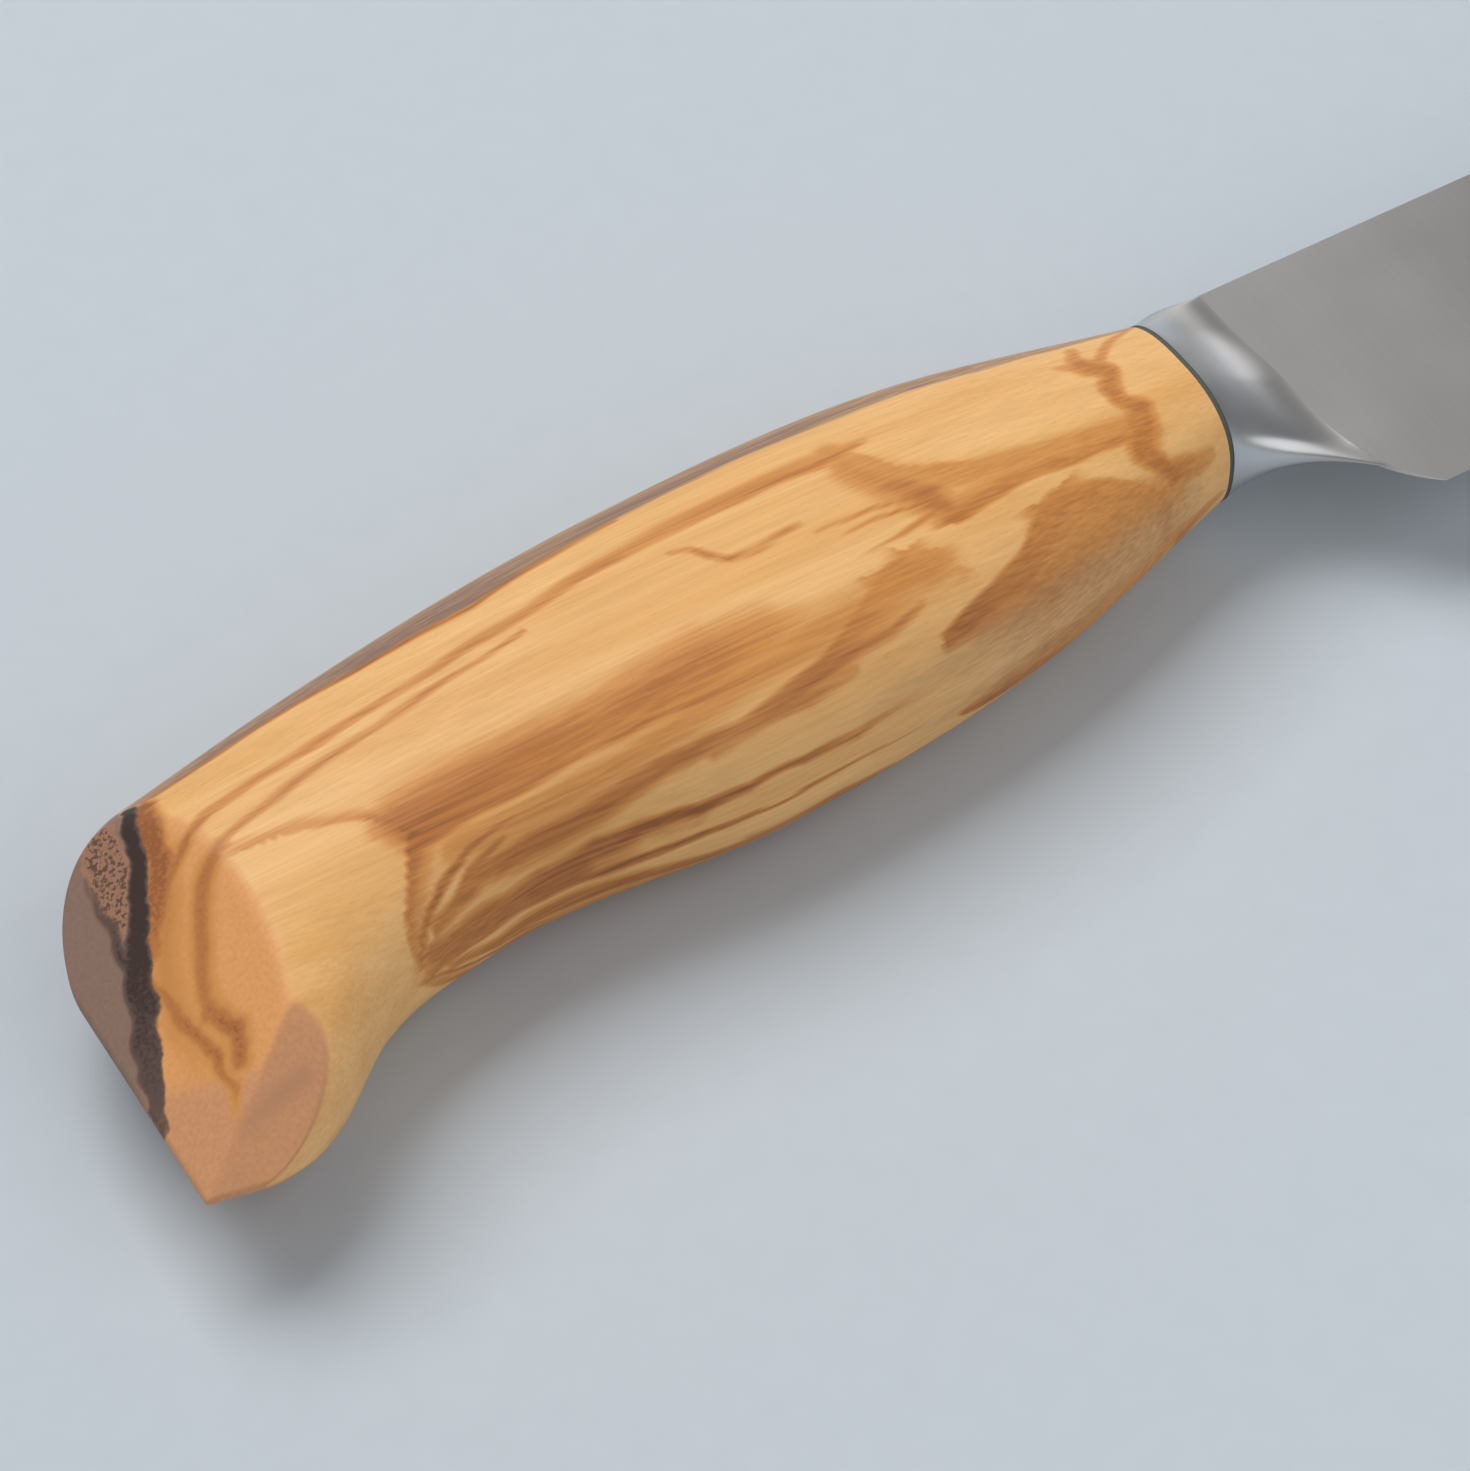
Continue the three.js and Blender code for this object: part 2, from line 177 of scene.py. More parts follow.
tang_faces += [[i, count + i, count + (i + 1) % count, (i + 1) % count] for i in range(count)]
tang_mesh = bpy.data.meshes.new("blade")
tang_mesh.from_pydata(np.concatenate(tang_sides).tolist(), [], tang_faces)
blade = bpy.data.objects.new("blade_steel", tang_mesh)
bpy.context.collection.objects.link(blade)

# The blade's two faces are sheets of six rows, from the middle of the spine to the middle of the edge.
blade_sizes = {
    "Bolster front": BOLSTER_FRONT,
    "Heel": HEEL,
    "Tip": TIP,
    "Spine height": SPINE_HEIGHT,
    "Heel depth": HEEL_DEPTH,
    "Spine straight": SPINE_STRAIGHT,
    "Edge straight": EDGE_STRAIGHT,
    "Tip depth": TIP_DEPTH,
    "Bevel height": BEVEL_HEIGHT,
    "Spine thickness": SPINE_THICKNESS,
    "Tip thickness": TIP_THICKNESS,
}
ROWS = 6
COLUMNS = 480
WELD = 0.002
CRISP_ANGLE = math.radians(1.2)
column_step = 1 / (COLUMNS - 1)
tree = bpy.data.node_groups.new("flat_ground_blade", "GeometryNodeTree")
tree.interface.new_socket("Blade", in_out="OUTPUT", socket_type="NodeSocketGeometry")
tree.interface.new_socket("Tang", in_out="INPUT", socket_type="NodeSocketGeometry")
blade_inputs = {
    name: tree.interface.new_socket(name, in_out="INPUT", socket_type="NodeSocketFloat").identifier
    for name in blade_sizes
}
size = add(tree, "NodeGroupInput").outputs
sheet = add(tree, "GeometryNodeMeshGrid", {
    "Size X": 1, "Size Y": 1, "Vertices X": COLUMNS, "Vertices Y": ROWS,
})
cell = add(tree, "ShaderNodeSeparateXYZ", {0: add(tree, "GeometryNodeInputPosition").outputs[0]}).outputs
station = add(tree, "ShaderNodeMapRange", {
    0: cell["X"], 1: -0.5 + column_step, 2: 0.5 - column_step, 3: size["Bolster front"], 4: size["Tip"],
}).outputs[0]
row = add(tree, "ShaderNodeMapRange", {0: cell["Y"], 1: -0.5, 2: 0.5, 3: 0, 4: ROWS - 1}).outputs[0]
row = add(tree, "FunctionNodeFloatToInt", {0: row}).outputs[0]

# Spine: straight, then dropping on a parabola to the point
drop_start = add(tree, "ShaderNodeMath", {0: size["Heel"], 1: size["Spine straight"]}).outputs[0]
drop = add(tree, "ShaderNodeMapRange", {0: station, 1: drop_start, 2: size["Tip"]}).outputs[0]
drop = add(tree, "ShaderNodeMath", {0: drop, 1: 2}, operation="POWER").outputs[0]
tip_top = add(tree, "ShaderNodeMath", {
    0: TIP_HEIGHT / 2, 1: size["Tip depth"],
}, operation="SUBTRACT").outputs[0]
spine = add(tree, "ShaderNodeMapRange", {0: drop, 3: size["Spine height"], 4: tip_top}).outputs[0]

# Edge: straight from the heel, then rising to the point; behind the heel it follows the plunge line
rise_start = add(tree, "ShaderNodeMath", {0: size["Heel"], 1: size["Edge straight"]}).outputs[0]
rise = add(tree, "ShaderNodeMapRange", {0: station, 1: rise_start, 2: size["Tip"]}).outputs[0]
rise = add(tree, "ShaderNodeMath", {0: rise, 1: EDGE_RISE_POWER}, operation="POWER").outputs[0]
heel_low = add(tree, "ShaderNodeMath", {0: size["Heel depth"], 1: -1}, operation="MULTIPLY").outputs[0]
tip_low = add(tree, "ShaderNodeMath", {
    0: -TIP_HEIGHT / 2, 1: size["Tip depth"],
}, operation="SUBTRACT").outputs[0]
edge_line = add(tree, "ShaderNodeMapRange", {0: rise, 3: heel_low, 4: tip_low}).outputs[0]
choil = add(tree, "ShaderNodeMapRange", {0: station, 1: size["Bolster front"], 2: size["Heel"]}).outputs[0]
choil = add(tree, "ShaderNodeMath", {0: choil}, operation="SQRT").outputs[0]
choil_bend = add(tree, "ShaderNodeMath", {
    0: choil, 1: plunge_bend, 2: plunge_slope,
}, operation="MULTIPLY_ADD")
choil_line = add(tree, "ShaderNodeMath", {
    0: choil, 1: choil_bend.outputs[0], 2: PLUNGE_LAND,
}, operation="MULTIPLY_ADD").outputs[0]
edge = add(tree, "ShaderNodeMath", {0: edge_line, 1: choil_line}, operation="MAXIMUM").outputs[0]

# Thickness: the flat grind from the spine to the shoulder, then the sharpened bevel
depth = add(tree, "ShaderNodeMath", {0: spine, 1: edge_line}, operation="SUBTRACT").outputs[0]
half_depth = add(tree, "ShaderNodeMath", {0: depth, 1: 0.5}, operation="MULTIPLY").outputs[0]
bevel = add(tree, "ShaderNodeMath", {0: size["Bevel height"], 1: half_depth}, operation="MINIMUM").outputs[0]
bevel_line = add(tree, "ShaderNodeMath", {0: edge_line, 1: bevel}).outputs[0]
shoulder = add(tree, "ShaderNodeMath", {0: bevel_line, 1: edge}, operation="MAXIMUM").outputs[0]
thickness = add(tree, "ShaderNodeMapRange", {
    0: station, 1: size["Heel"], 2: size["Tip"], 3: size["Spine thickness"], 4: size["Tip thickness"],
}).outputs[0]
half_spine = add(tree, "ShaderNodeMath", {0: thickness, 1: 0.5}, operation="MULTIPLY").outputs[0]
grind_at_shoulder = add(tree, "ShaderNodeMapRange", {
    0: shoulder, 1: bevel_line, 2: spine, 3: BEHIND_EDGE / 2, 4: half_spine,
}).outputs[0]
grind_at_edge = add(tree, "ShaderNodeMapRange", {
    0: edge, 1: bevel_line, 2: spine, 3: BEHIND_EDGE / 2, 4: half_spine,
}).outputs[0]
bevel_at_edge = add(tree, "ShaderNodeMapRange", {
    0: edge, 1: edge_line, 2: bevel_line, 3: EDGE_THICKNESS / 2, 4: BEHIND_EDGE / 2,
}, clamp=False).outputs[0]
half_edge = add(tree, "ShaderNodeMath", {0: bevel_at_edge, 1: grind_at_edge}, operation="MINIMUM").outputs[0]

# Rows of a face: spine middle, spine corner, top of the grind, shoulder, edge and edge middle
inner_half = add(tree, "ShaderNodeMath", {0: half_spine, 1: SPINE_CHAMFER}, operation="SUBTRACT").outputs[0]
grind_top = add(tree, "ShaderNodeMath", {0: spine, 1: SPINE_CHAMFER}, operation="SUBTRACT").outputs[0]
row_height = add(tree, "GeometryNodeIndexSwitch", data_type="FLOAT")
row_half = add(tree, "GeometryNodeIndexSwitch", data_type="FLOAT")
rows = [
    (spine, None),
    (spine, inner_half),
    (grind_top, half_spine),
    (shoulder, grind_at_shoulder),
    (edge, half_edge),
    (edge, None),
]
for switch in (row_height, row_half):
    for extra in rows[2:]:
        switch.index_switch_items.new()
    tree.links.new(row, switch.inputs[0])
for i, (height, half) in enumerate(rows):
    tree.links.new(height, row_height.inputs[i + 1])
    if half is not None:
        tree.links.new(half, row_half.inputs[i + 1])

# The first and last columns close the sheet on the middle plane.
from_middle = add(tree, "ShaderNodeMath", {0: cell["X"]}, operation="ABSOLUTE").outputs[0]
open_column = add(tree, "ShaderNodeMath", {0: from_middle, 1: 0.5 - column_step / 2}, operation="LESS_THAN")
half = add(tree, "ShaderNodeMath", {0: row_half.outputs[0], 1: open_column.outputs[0]}, operation="MULTIPLY")
faces = []
for side in (1, -1):
    over = add(tree, "ShaderNodeMath", {0: half.outputs[0], 1: side}, operation="MULTIPLY").outputs[0]
    point = add(tree, "ShaderNodeCombineXYZ", {
        "X": station, "Y": row_height.outputs[0], "Z": over,
    }).outputs[0]
    point = add(tree, "ShaderNodeVectorMath", {
        0: point, 1: (MM, MM, MM), 2: knife_origin,
    }, operation="MULTIPLY_ADD").outputs[0]
    face = add(tree, "GeometryNodeSetPosition", {"Geometry": sheet.outputs["Mesh"], "Position": point})
    if side == 1:
        face = add(tree, "GeometryNodeFlipFaces", {"Mesh": face.outputs[0]})
    faces.append(face.outputs[0])
joined = add(tree, "GeometryNodeJoinGeometry")
for part in (*faces, size["Tang"]):
    tree.links.new(part, joined.inputs[0])
merged = add(tree, "GeometryNodeMergeByDistance", {"Geometry": joined.outputs[0], "Distance": WELD * MM})
smooth = add(tree, "GeometryNodeSetShadeSmooth", {0: merged.outputs[0]})
angle = add(tree, "GeometryNodeInputMeshEdgeAngle").outputs["Unsigned Angle"]
crisp = add(tree, "ShaderNodeMath", {0: angle, 1: CRISP_ANGLE}, operation="GREATER_THAN").outputs[0]
sharp = add(tree, "GeometryNodeSetShadeSmooth", {0: smooth.outputs[0], 1: crisp, 2: False}, domain="EDGE")
real = add(tree, "GeometryNodeRealizeInstances", {0: sharp.outputs[0]})
finished = add(tree, "GeometryNodeSetMaterial", {"Geometry": real.outputs[0], "Material": satin_steel})
add(tree, "NodeGroupOutput", {0: finished.outputs[0]})


def grow(piece, node_tree, values):
    """Runs a node tree on a piece with its named inputs, and leaves the result as a plain mesh."""
    modifier = piece.modifiers.new("shape", "NODES")
    modifier.node_group = node_tree
    for identifier, value in values.items():
        modifier[identifier] = value
    evaluated = piece.evaluated_get(bpy.context.evaluated_depsgraph_get())
    mesh = bpy.data.meshes.new_from_object(evaluated)
    piece.modifiers.remove(modifier)
    piece.data = mesh


grow(blade, tree, {blade_inputs[name]: float(value) for name, value in blade_sizes.items()})
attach(blade, "root")
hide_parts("blade")

# Bolster
# A polished steel collar, slotted for the tang. It narrows like a saddle from the wood to the blade,
# and its underside sweeps forward into a short horn behind the heel.
# Polished stainless steel, buffed: soft light and dark bands, with hairline marks round the collar.
BUFF_MARK_SPACING = 0.1
BUFF_MARK_LENGTH = 5
BUFF_MARK_DEPTH = 0.002
HAZE_CLOUD = 4
polished_steel, tree, shader, place = surface("polished_stainless_steel")
shader.inputs["Metallic"].default_value = 1
buff = add(tree, "ShaderNodeMapping", {
    "Vector": place,
    "Scale": (1 / (BUFF_MARK_SPACING * MM), 1 / (BUFF_MARK_LENGTH * MM), 1 / (BUFF_MARK_LENGTH * MM)),
})
marks = add(tree, "ShaderNodeTexNoise", {"Vector": buff.outputs[0], "Scale": 1, "Detail": 2})
haze = add(tree, "ShaderNodeTexNoise", {"Vector": place, "Scale": 1 / (HAZE_CLOUD * MM), "Detail": 3})
polish_tone = add(tree, "ShaderNodeMix", {
    "Factor": haze.outputs["Fac"], 6: linear("#bfc0c3"), 7: linear("#cfd0d2"),
}, data_type="RGBA")
polish_rough = add(tree, "ShaderNodeMapRange", {0: haze.outputs["Fac"], 3: 0.28, 4: 0.33})

# Towards the spine and the heel the blade's satin grind runs out over the collar.
ground = add(tree, "ShaderNodeAttribute", attribute_name="ground").outputs["Fac"]
collar_tone = add(tree, "ShaderNodeMix", {
    "Factor": ground, 6: polish_tone.outputs[2], 7: linear("#c0bdbb"),
}, data_type="RGBA")
collar_rough = add(tree, "ShaderNodeMix", {"Factor": ground, 2: polish_rough.outputs[0], 3: 0.36})
buff_bump = add(tree, "ShaderNodeBump", {
    "Height": marks.outputs["Fac"], "Distance": BUFF_MARK_DEPTH * MM, "Strength": 0.4,
})
tree.links.new(collar_tone.outputs[2], shader.inputs["Base Color"])
tree.links.new(collar_rough.outputs[0], shader.inputs["Roughness"])
tree.links.new(buff_bump.outputs[0], shader.inputs["Normal"])

BOLSTER_BACK = station_of(liner_high)[0]
JUNCTION_DEPTH = -station_of(liner_low)[1]
JUNCTION_HALF = station_of(liner_high)[2]
GRIP_FULLNESS = 2.5
SPINE_SIDE_FULLNESS = 20
EDGE_SIDE_FULLNESS = 2.6
FULLNESS_CHANGE = (-0.2, 0.9)
BOLSTER_HOLLOW = 1.8
RIM_STEP = 0.7
RIM_STEP_FADED = 0.05
RIM_FADE_TO_SPINE = (5, -3)
RIM_FADE_TO_HEEL = (-15, -10)
GRIND_STATIONS = (96, 101)
GRIND_HEIGHTS = (0, 6)
HORN_GRIND_STATIONS = (100, 104)
COLLAR_POINTS = 240
COLLAR_RINGS = 48
FRONT_TRIALS = 4000
FIT_GAP = 0.3
SLOT_GAP = 0.15
SEAM_WELD = 0.0005
CORNER_ANGLE = math.radians(35)


def bulge(value, fullness):
    """One coordinate of a superellipse, from the sine or cosine of its angle."""
    return np.sign(value) * np.abs(value) ** (2 / fullness)


def smoothstep(low, high, value):
    """0 up to low and 1 from high on, with a smooth rise between; low may be the greater one."""
    t = np.clip((value - low) / (high - low), 0, 1)
    return t * t * (3 - 2 * t)


def sleeve(name, rings, slot_half_height, slot_half_thickness, slot_end, material):
    """A closed piece over a row of rings in millimetres, its last ring pierced by the tang's blind slot."""
    count = rings.shape[1]
    turn = 2 * np.pi * np.arange(count) / count
    with np.errstate(divide="ignore"):
        to_top = slot_half_height / np.abs(np.cos(turn))
        to_side = slot_half_thickness / np.abs(np.sin(turn))
    reach = np.minimum(to_top, to_side)
    mouth = np.stack([np.full(count, rings[-1, 0, 0]), reach * np.cos(turn), reach * np.sin(turn)], -1)
    floor = mouth.copy()
    floor[:, 0] = slot_end
    rings = np.concatenate([rings, [mouth, floor, floor * [1, 0, 0]]])
    first = np.arange(len(rings) - 1)[:, None] * count
    i = np.arange(count)
    after = (i + 1) % count
    quads = np.stack([first + i, first + after, first + count + after, first + count + i], -1).reshape(-1, 4)
    mesh = bpy.data.meshes.new(name)
    mesh.from_pydata(in_frame(*rings.reshape(-1, 3).T).tolist(), [], quads.tolist())
    body = bmesh.new()
    body.from_mesh(mesh)
    bmesh.ops.remove_doubles(body, verts=body.verts, dist=SEAM_WELD * MM)
    bmesh.ops.recalc_face_normals(body, faces=body.faces)
    body.to_mesh(mesh)
    body.free()
    mesh.shade_smooth()
    mesh.set_sharp_from_angle(angle=CORNER_ANGLE)
    mesh.materials.append(material)
    piece = bpy.data.objects.new(name, mesh)
    bpy.context.collection.objects.link(piece)
    return piece


def collar(x, turn):
    """Height over the axis, and share of the half thickness, of the collar's oval at a station."""
    to_front = np.clip((x - BOLSTER_BACK) / (BOLSTER_FRONT - BOLSTER_BACK), 0, 1)
    to_heel = (x - BOLSTER_BACK) / (HEEL - BOLSTER_BACK)
    crest = JUNCTION_CREST + (SPINE_HEIGHT - JUNCTION_CREST) * to_front * (2 - to_front)
    belly = -JUNCTION_DEPTH - (HEEL_DEPTH - JUNCTION_DEPTH) * to_heel ** 2
    rise = bulge(np.cos(turn), GRIP_FULLNESS)
    to_spine = smoothstep(*FULLNESS_CHANGE, rise)
    front_fullness = EDGE_SIDE_FULLNESS + (SPINE_SIDE_FULLNESS - EDGE_SIDE_FULLNESS) * to_spine
    fullness = GRIP_FULLNESS + (front_fullness - GRIP_FULLNESS) * to_front ** 2
    share = np.sign(np.sin(turn)) * (1 - np.abs(rise) ** fullness) ** (1 / fullness)
    return (crest + belly) / 2 + (crest - belly) / 2 * rise, share


def plunge_station(y):
    """Where the plunge line lies at a height over the axis."""
    drop = np.clip(PLUNGE_LAND - y, 0, HEEL_DEPTH + PLUNGE_LAND)
    t = (-plunge_slope - np.sqrt(plunge_slope ** 2 - 4 * plunge_bend * drop)) / (2 * plunge_bend)
    return BOLSTER_FRONT + (HEEL - BOLSTER_FRONT) * t ** 2


# Each line of the collar hollows down to the plunge line. There its rim stands over the blade, and fades
# towards the spine and towards the heel.
turn = np.linspace(0, 2 * np.pi, COLLAR_POINTS, endpoint=False)
trial = np.linspace(BOLSTER_BACK, HEEL, FRONT_TRIALS)[:, None]
past = trial >= plunge_station(collar(trial, turn)[0])
front = trial[np.argmax(past, axis=0), 0]
along = np.linspace(1, 0, COLLAR_RINGS)[:, None]
x = BOLSTER_BACK + (front - BOLSTER_BACK) * along
y, share = collar(x, turn)
grind_heights = [BEVEL_HEIGHT - HEEL_DEPTH, SPINE_HEIGHT]
blade_half = np.interp(y[0], grind_heights, [BEHIND_EDGE / 2, SPINE_THICKNESS / 2])
rim_step = RIM_STEP * smoothstep(*RIM_FADE_TO_SPINE, y[0]) * smoothstep(*RIM_FADE_TO_HEEL, y[0])
rim_half = blade_half + RIM_STEP_FADED + rim_step
half = rim_half + (JUNCTION_HALF - rim_half) * (1 - along) ** BOLSTER_HOLLOW
rings = np.stack([x, y, half * share], -1)
rings = np.concatenate([rings[:1] * [1, 1, 0], rings])
bolster = sleeve("bolster_collar", rings, TANG_HEIGHT / 2 + SLOT_GAP, TANG_THICKNESS / 2 + SLOT_GAP,
                 BOLSTER_FRONT - FIT_GAP, polished_steel)
spots = np.array([station_of(vertex.co) for vertex in bolster.data.vertices])
to_spine = smoothstep(*GRIND_STATIONS, spots[:, 0]) * smoothstep(*GRIND_HEIGHTS, spots[:, 1])
to_heel = smoothstep(*HORN_GRIND_STATIONS, spots[:, 0])
ground_share = np.maximum(to_spine, to_heel).astype(np.float32)
bolster.data.attributes.new("ground", "FLOAT", "POINT").data.foreach_set("value", ground_share)
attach(bolster, "root")
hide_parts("bolster")

# Bolster liner
# A thin washer of vulcanised fibre, cut to the junction oval and slotted for the tang. It is glued between
# the wood and the bolster, and shows as a fine dark line round the joint.
# Vulcanised fibre, cut and sanded flush: a dull dark edge with a faint felted mottle.
FIBRE_GRAIN = 0.25
dark_fibre, tree, shader, place = surface("vulcanised_fibre")
felt = add(tree, "ShaderNodeTexNoise", {"Vector": place, "Scale": 1 / (FIBRE_GRAIN * MM), "Detail": 3})
felt_tone = add(tree, "ShaderNodeMix", {
    "Factor": felt.outputs["Fac"], 6: linear("#41433e"), 7: linear("#5c5e57"),
}, data_type="RGBA")
felt_rough = add(tree, "ShaderNodeMapRange", {0: felt.outputs["Fac"], 3: 0.55, 4: 0.75})
tree.links.new(felt_tone.outputs[2], shader.inputs["Base Color"])
tree.links.new(felt_rough.outputs[0], shader.inputs["Roughness"])

SANDED_BACK = 0.05
OVAL_POINTS = 160
LINER_WELD = 0.001
liner_sizes = {
    "Back": station_of(liner_low)[0],
    "Thickness": station_of(liner_high)[0] - station_of(liner_low)[0],
    "Crest": JUNCTION_CREST - SANDED_BACK,
    "Depth": JUNCTION_DEPTH - SANDED_BACK,
    "Half width": JUNCTION_HALF - SANDED_BACK,
    "Slot height": TANG_HEIGHT + 2 * FIT_GAP,
    "Slot width": SPINE_THICKNESS + 2 * FIT_GAP,
}
tree = bpy.data.node_groups.new("slotted_washer", "GeometryNodeTree")
tree.interface.new_socket("Washer", in_out="OUTPUT", socket_type="NodeSocketGeometry")
liner_inputs = {
    name: tree.interface.new_socket(name, in_out="INPUT", socket_type="NodeSocketFloat").identifier
    for name in liner_sizes
}
size = add(tree, "NodeGroupInput").outputs
circle = add(tree, "GeometryNodeCurvePrimitiveCircle", {"Resolution": OVAL_POINTS, "Radius": 1})
spot = add(tree, "ShaderNodeSeparateXYZ", {0: add(tree, "GeometryNodeInputPosition").outputs[0]}).outputs
full = []
for name in ("X", "Y"):
    sign = add(tree, "ShaderNodeMath", {0: spot[name]}, operation="SIGN").outputs[0]
    length = add(tree, "ShaderNodeMath", {0: spot[name]}, operation="ABSOLUTE").outputs[0]
    length = add(tree, "ShaderNodeMath", {0: length, 1: 2 / GRIP_FULLNESS}, operation="POWER").outputs[0]
    full.append(add(tree, "ShaderNodeMath", {0: sign, 1: length}, operation="MULTIPLY").outputs[0])
low = add(tree, "ShaderNodeMath", {0: size["Depth"], 1: -1}, operation="MULTIPLY").outputs[0]
across = add(tree, "ShaderNodeMath", {0: full[0], 1: size["Half width"]}, operation="MULTIPLY").outputs[0]
upright = add(tree, "ShaderNodeMapRange", {0: full[1], 1: -1, 2: 1, 3: low, 4: size["Crest"]}).outputs[0]
oval_point = add(tree, "ShaderNodeCombineXYZ", {"X": across, "Y": upright}).outputs[0]
oval = add(tree, "GeometryNodeSetPosition", {
    "Geometry": circle.outputs[0], "Position": oval_point,
}).outputs[0]
slot = add(tree, "GeometryNodeCurvePrimitiveQuadrilateral", {
    "Width": size["Slot width"], "Height": size["Slot height"],
}).outputs[0]
outlines = add(tree, "GeometryNodeJoinGeometry")
tree.links.new(oval, outlines.inputs[0])
tree.links.new(slot, outlines.inputs[0])
blank = add(tree, "GeometryNodeFillCurve", {0: outlines.outputs[0]}).outputs[0]
raised = add(tree, "GeometryNodeExtrudeMesh", {
    "Mesh": blank, "Offset Scale": size["Thickness"], "Individual": False,
}).outputs[0]
under = add(tree, "GeometryNodeFlipFaces", {0: blank}).outputs[0]
washer = add(tree, "GeometryNodeJoinGeometry")
tree.links.new(raised, washer.inputs[0])
tree.links.new(under, washer.inputs[0])
closed = add(tree, "GeometryNodeMergeByDistance", {"Geometry": washer.outputs[0], "Distance": LINER_WELD})

# The washer is cut lying flat, and stood up with its thickness along the knife.
laid = add(tree, "ShaderNodeSeparateXYZ", {0: add(tree, "GeometryNodeInputPosition").outputs[0]}).outputs
forward = add(tree, "ShaderNodeMath", {0: laid["Z"], 1: size["Back"]}).outputs[0]
stood = add(tree, "ShaderNodeCombineXYZ", {"X": forward, "Y": laid["Y"], "Z": laid["X"]}).outputs[0]
stood = add(tree, "ShaderNodeVectorMath", {
    0: stood, 1: (MM, MM, MM), 2: knife_origin,
}, operation="MULTIPLY_ADD").outputs[0]
stood = add(tree, "GeometryNodeSetPosition", {"Geometry": closed.outputs[0], "Position": stood})
stood = add(tree, "GeometryNodeFlipFaces", {0: stood.outputs[0]})
real = add(tree, "GeometryNodeRealizeInstances", {0: stood.outputs[0]})
finished = add(tree, "GeometryNodeSetMaterial", {"Geometry": real.outputs[0], "Material": dark_fibre})
add(tree, "NodeGroupOutput", {0: finished.outputs[0]})

liner = bpy.data.objects.new("liner_washer", bpy.data.meshes.new("liner_washer"))
bpy.context.collection.objects.link(liner)
grow(liner, tree, {liner_inputs[name]: float(value) for name, value in liner_sizes.items()})
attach(liner, "root")
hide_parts("bolster_liner")

# Bedding resin
# The cast of epoxy that fills the mortise round the tang and holds the wood. It is hidden in the handle,
# and keeps its solid.
# Cured epoxy, cast in place: glossy amber, clouded where it took up wood dust.
DUST_CLOUD = 3
amber_resin, tree, shader, place = surface("cast_epoxy")
dust = add(tree, "ShaderNodeTexNoise", {"Vector": place, "Scale": 1 / (DUST_CLOUD * MM), "Detail": 4})
dust_tone = add(tree, "ShaderNodeMix", {
    "Factor": dust.outputs["Fac"], 6: linear("#a8884e"), 7: linear("#caba8c"),
}, data_type="RGBA")
dust_rough = add(tree, "ShaderNodeMapRange", {0: dust.outputs["Fac"], 3: 0.15, 4: 0.35})
tree.links.new(dust_tone.outputs[2], shader.inputs["Base Color"])
tree.links.new(dust_rough.outputs[0], shader.inputs["Roughness"])
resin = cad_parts["tang_epoxy"]
resin.data.materials.clear()
resin.data.materials.append(amber_resin)

# Handle
# One block of olive wood, turned down at the butt into a beak that is cut by two pairs of bevels.
# It is shaped and sanded by hand, oiled, and glued over the tang.
SIDE_HALF = (handle_high[2] - handle_low[2]) / 2 / MM
BUTT_CORNER_LENGTH = 9.1
BUTT_CORNER_DROP = 11.3
END_BEVEL_ANGLE = math.radians(32.2)
BEAK_BEVEL_ANGLE = math.radians(36.5)
BEAK_BEVEL_TURN = math.radians(12)
BEAK_BEVEL_DEPTH = 25.5
BEVEL_NOSE_RADIUS = 0.6
SANDED_CORNER = 0.4
MORTISE_END = 31.9
BEDDING = 1.5
CORNER_RINGS = 48
GRIP_RINGS = 210
GRIP_POINTS = 340


def curve_through(points):
    """A smooth curve through (station, value) points, cubic between them."""
    at, value = np.array(points, float).T
    span = np.diff(at)
    rise = np.diff(value) / span
    inner = (rise[:-1] * span[1:] + rise[1:] * span[:-1]) / (span[:-1] + span[1:])
    slope = np.concatenate([rise[:1], inner, rise[-1:]])

    def curve(x):
        i = np.clip(np.searchsorted(at, x) - 1, 0, len(span) - 1)
        t = (x - at[i]) / span[i]
        leave = (1 + 2 * t) * value[i] + t * span[i] * slope[i]
        arrive = (3 - 2 * t) * value[i + 1] + (t - 1) * span[i] * slope[i + 1]
        return (1 - t) ** 2 * leave + t ** 2 * arrive

    return curve


grip_crest = curve_through([(0, 3.4), (24, 8), (50, 11), (74, 11.2), (WOOD_FRONT, JUNCTION_CREST)])
grip_belly = curve_through([
    (0, -25.6), (4.1, -26.3), (11, -23.6), (17.5, -18.5), (28, -15.4), (52, -16.1), (76, -13.4),
    (WOOD_FRONT, -JUNCTION_DEPTH),
])
grip_half = curve_through([(0, 8), (12, 8), (52, 9.9), (78, 8.6), (WOOD_FRONT, JUNCTION_HALF)])


def bevel_half(distance, angle):
    """Half thickness between two bevels at a distance from their rounded edge."""
    radius = BEVEL_NOSE_RADIUS
    nose = np.sqrt(np.clip(radius ** 2 - (distance - radius) ** 2, 0, None))
    plane = (distance - radius) * math.tan(angle) + radius / math.cos(angle)
    return np.where(distance < radius * (1 - math.sin(angle)), nose, plane)


def sanded(a, b):
    """The lower of two surfaces, with their corner sanded round."""
    h = np.clip(0.5 + 0.5 * (b - a) / SANDED_CORNER, 0, 1)
    return b + (a - b) * h - SANDED_CORNER * h * (1 - h)


def beak_distance(x, y):
    """How far a point lies in from the edge of the beak's bevels."""
    return (y + BEAK_BEVEL_DEPTH) * math.cos(BEAK_BEVEL_TURN) + x * math.sin(BEAK_BEVEL_TURN)


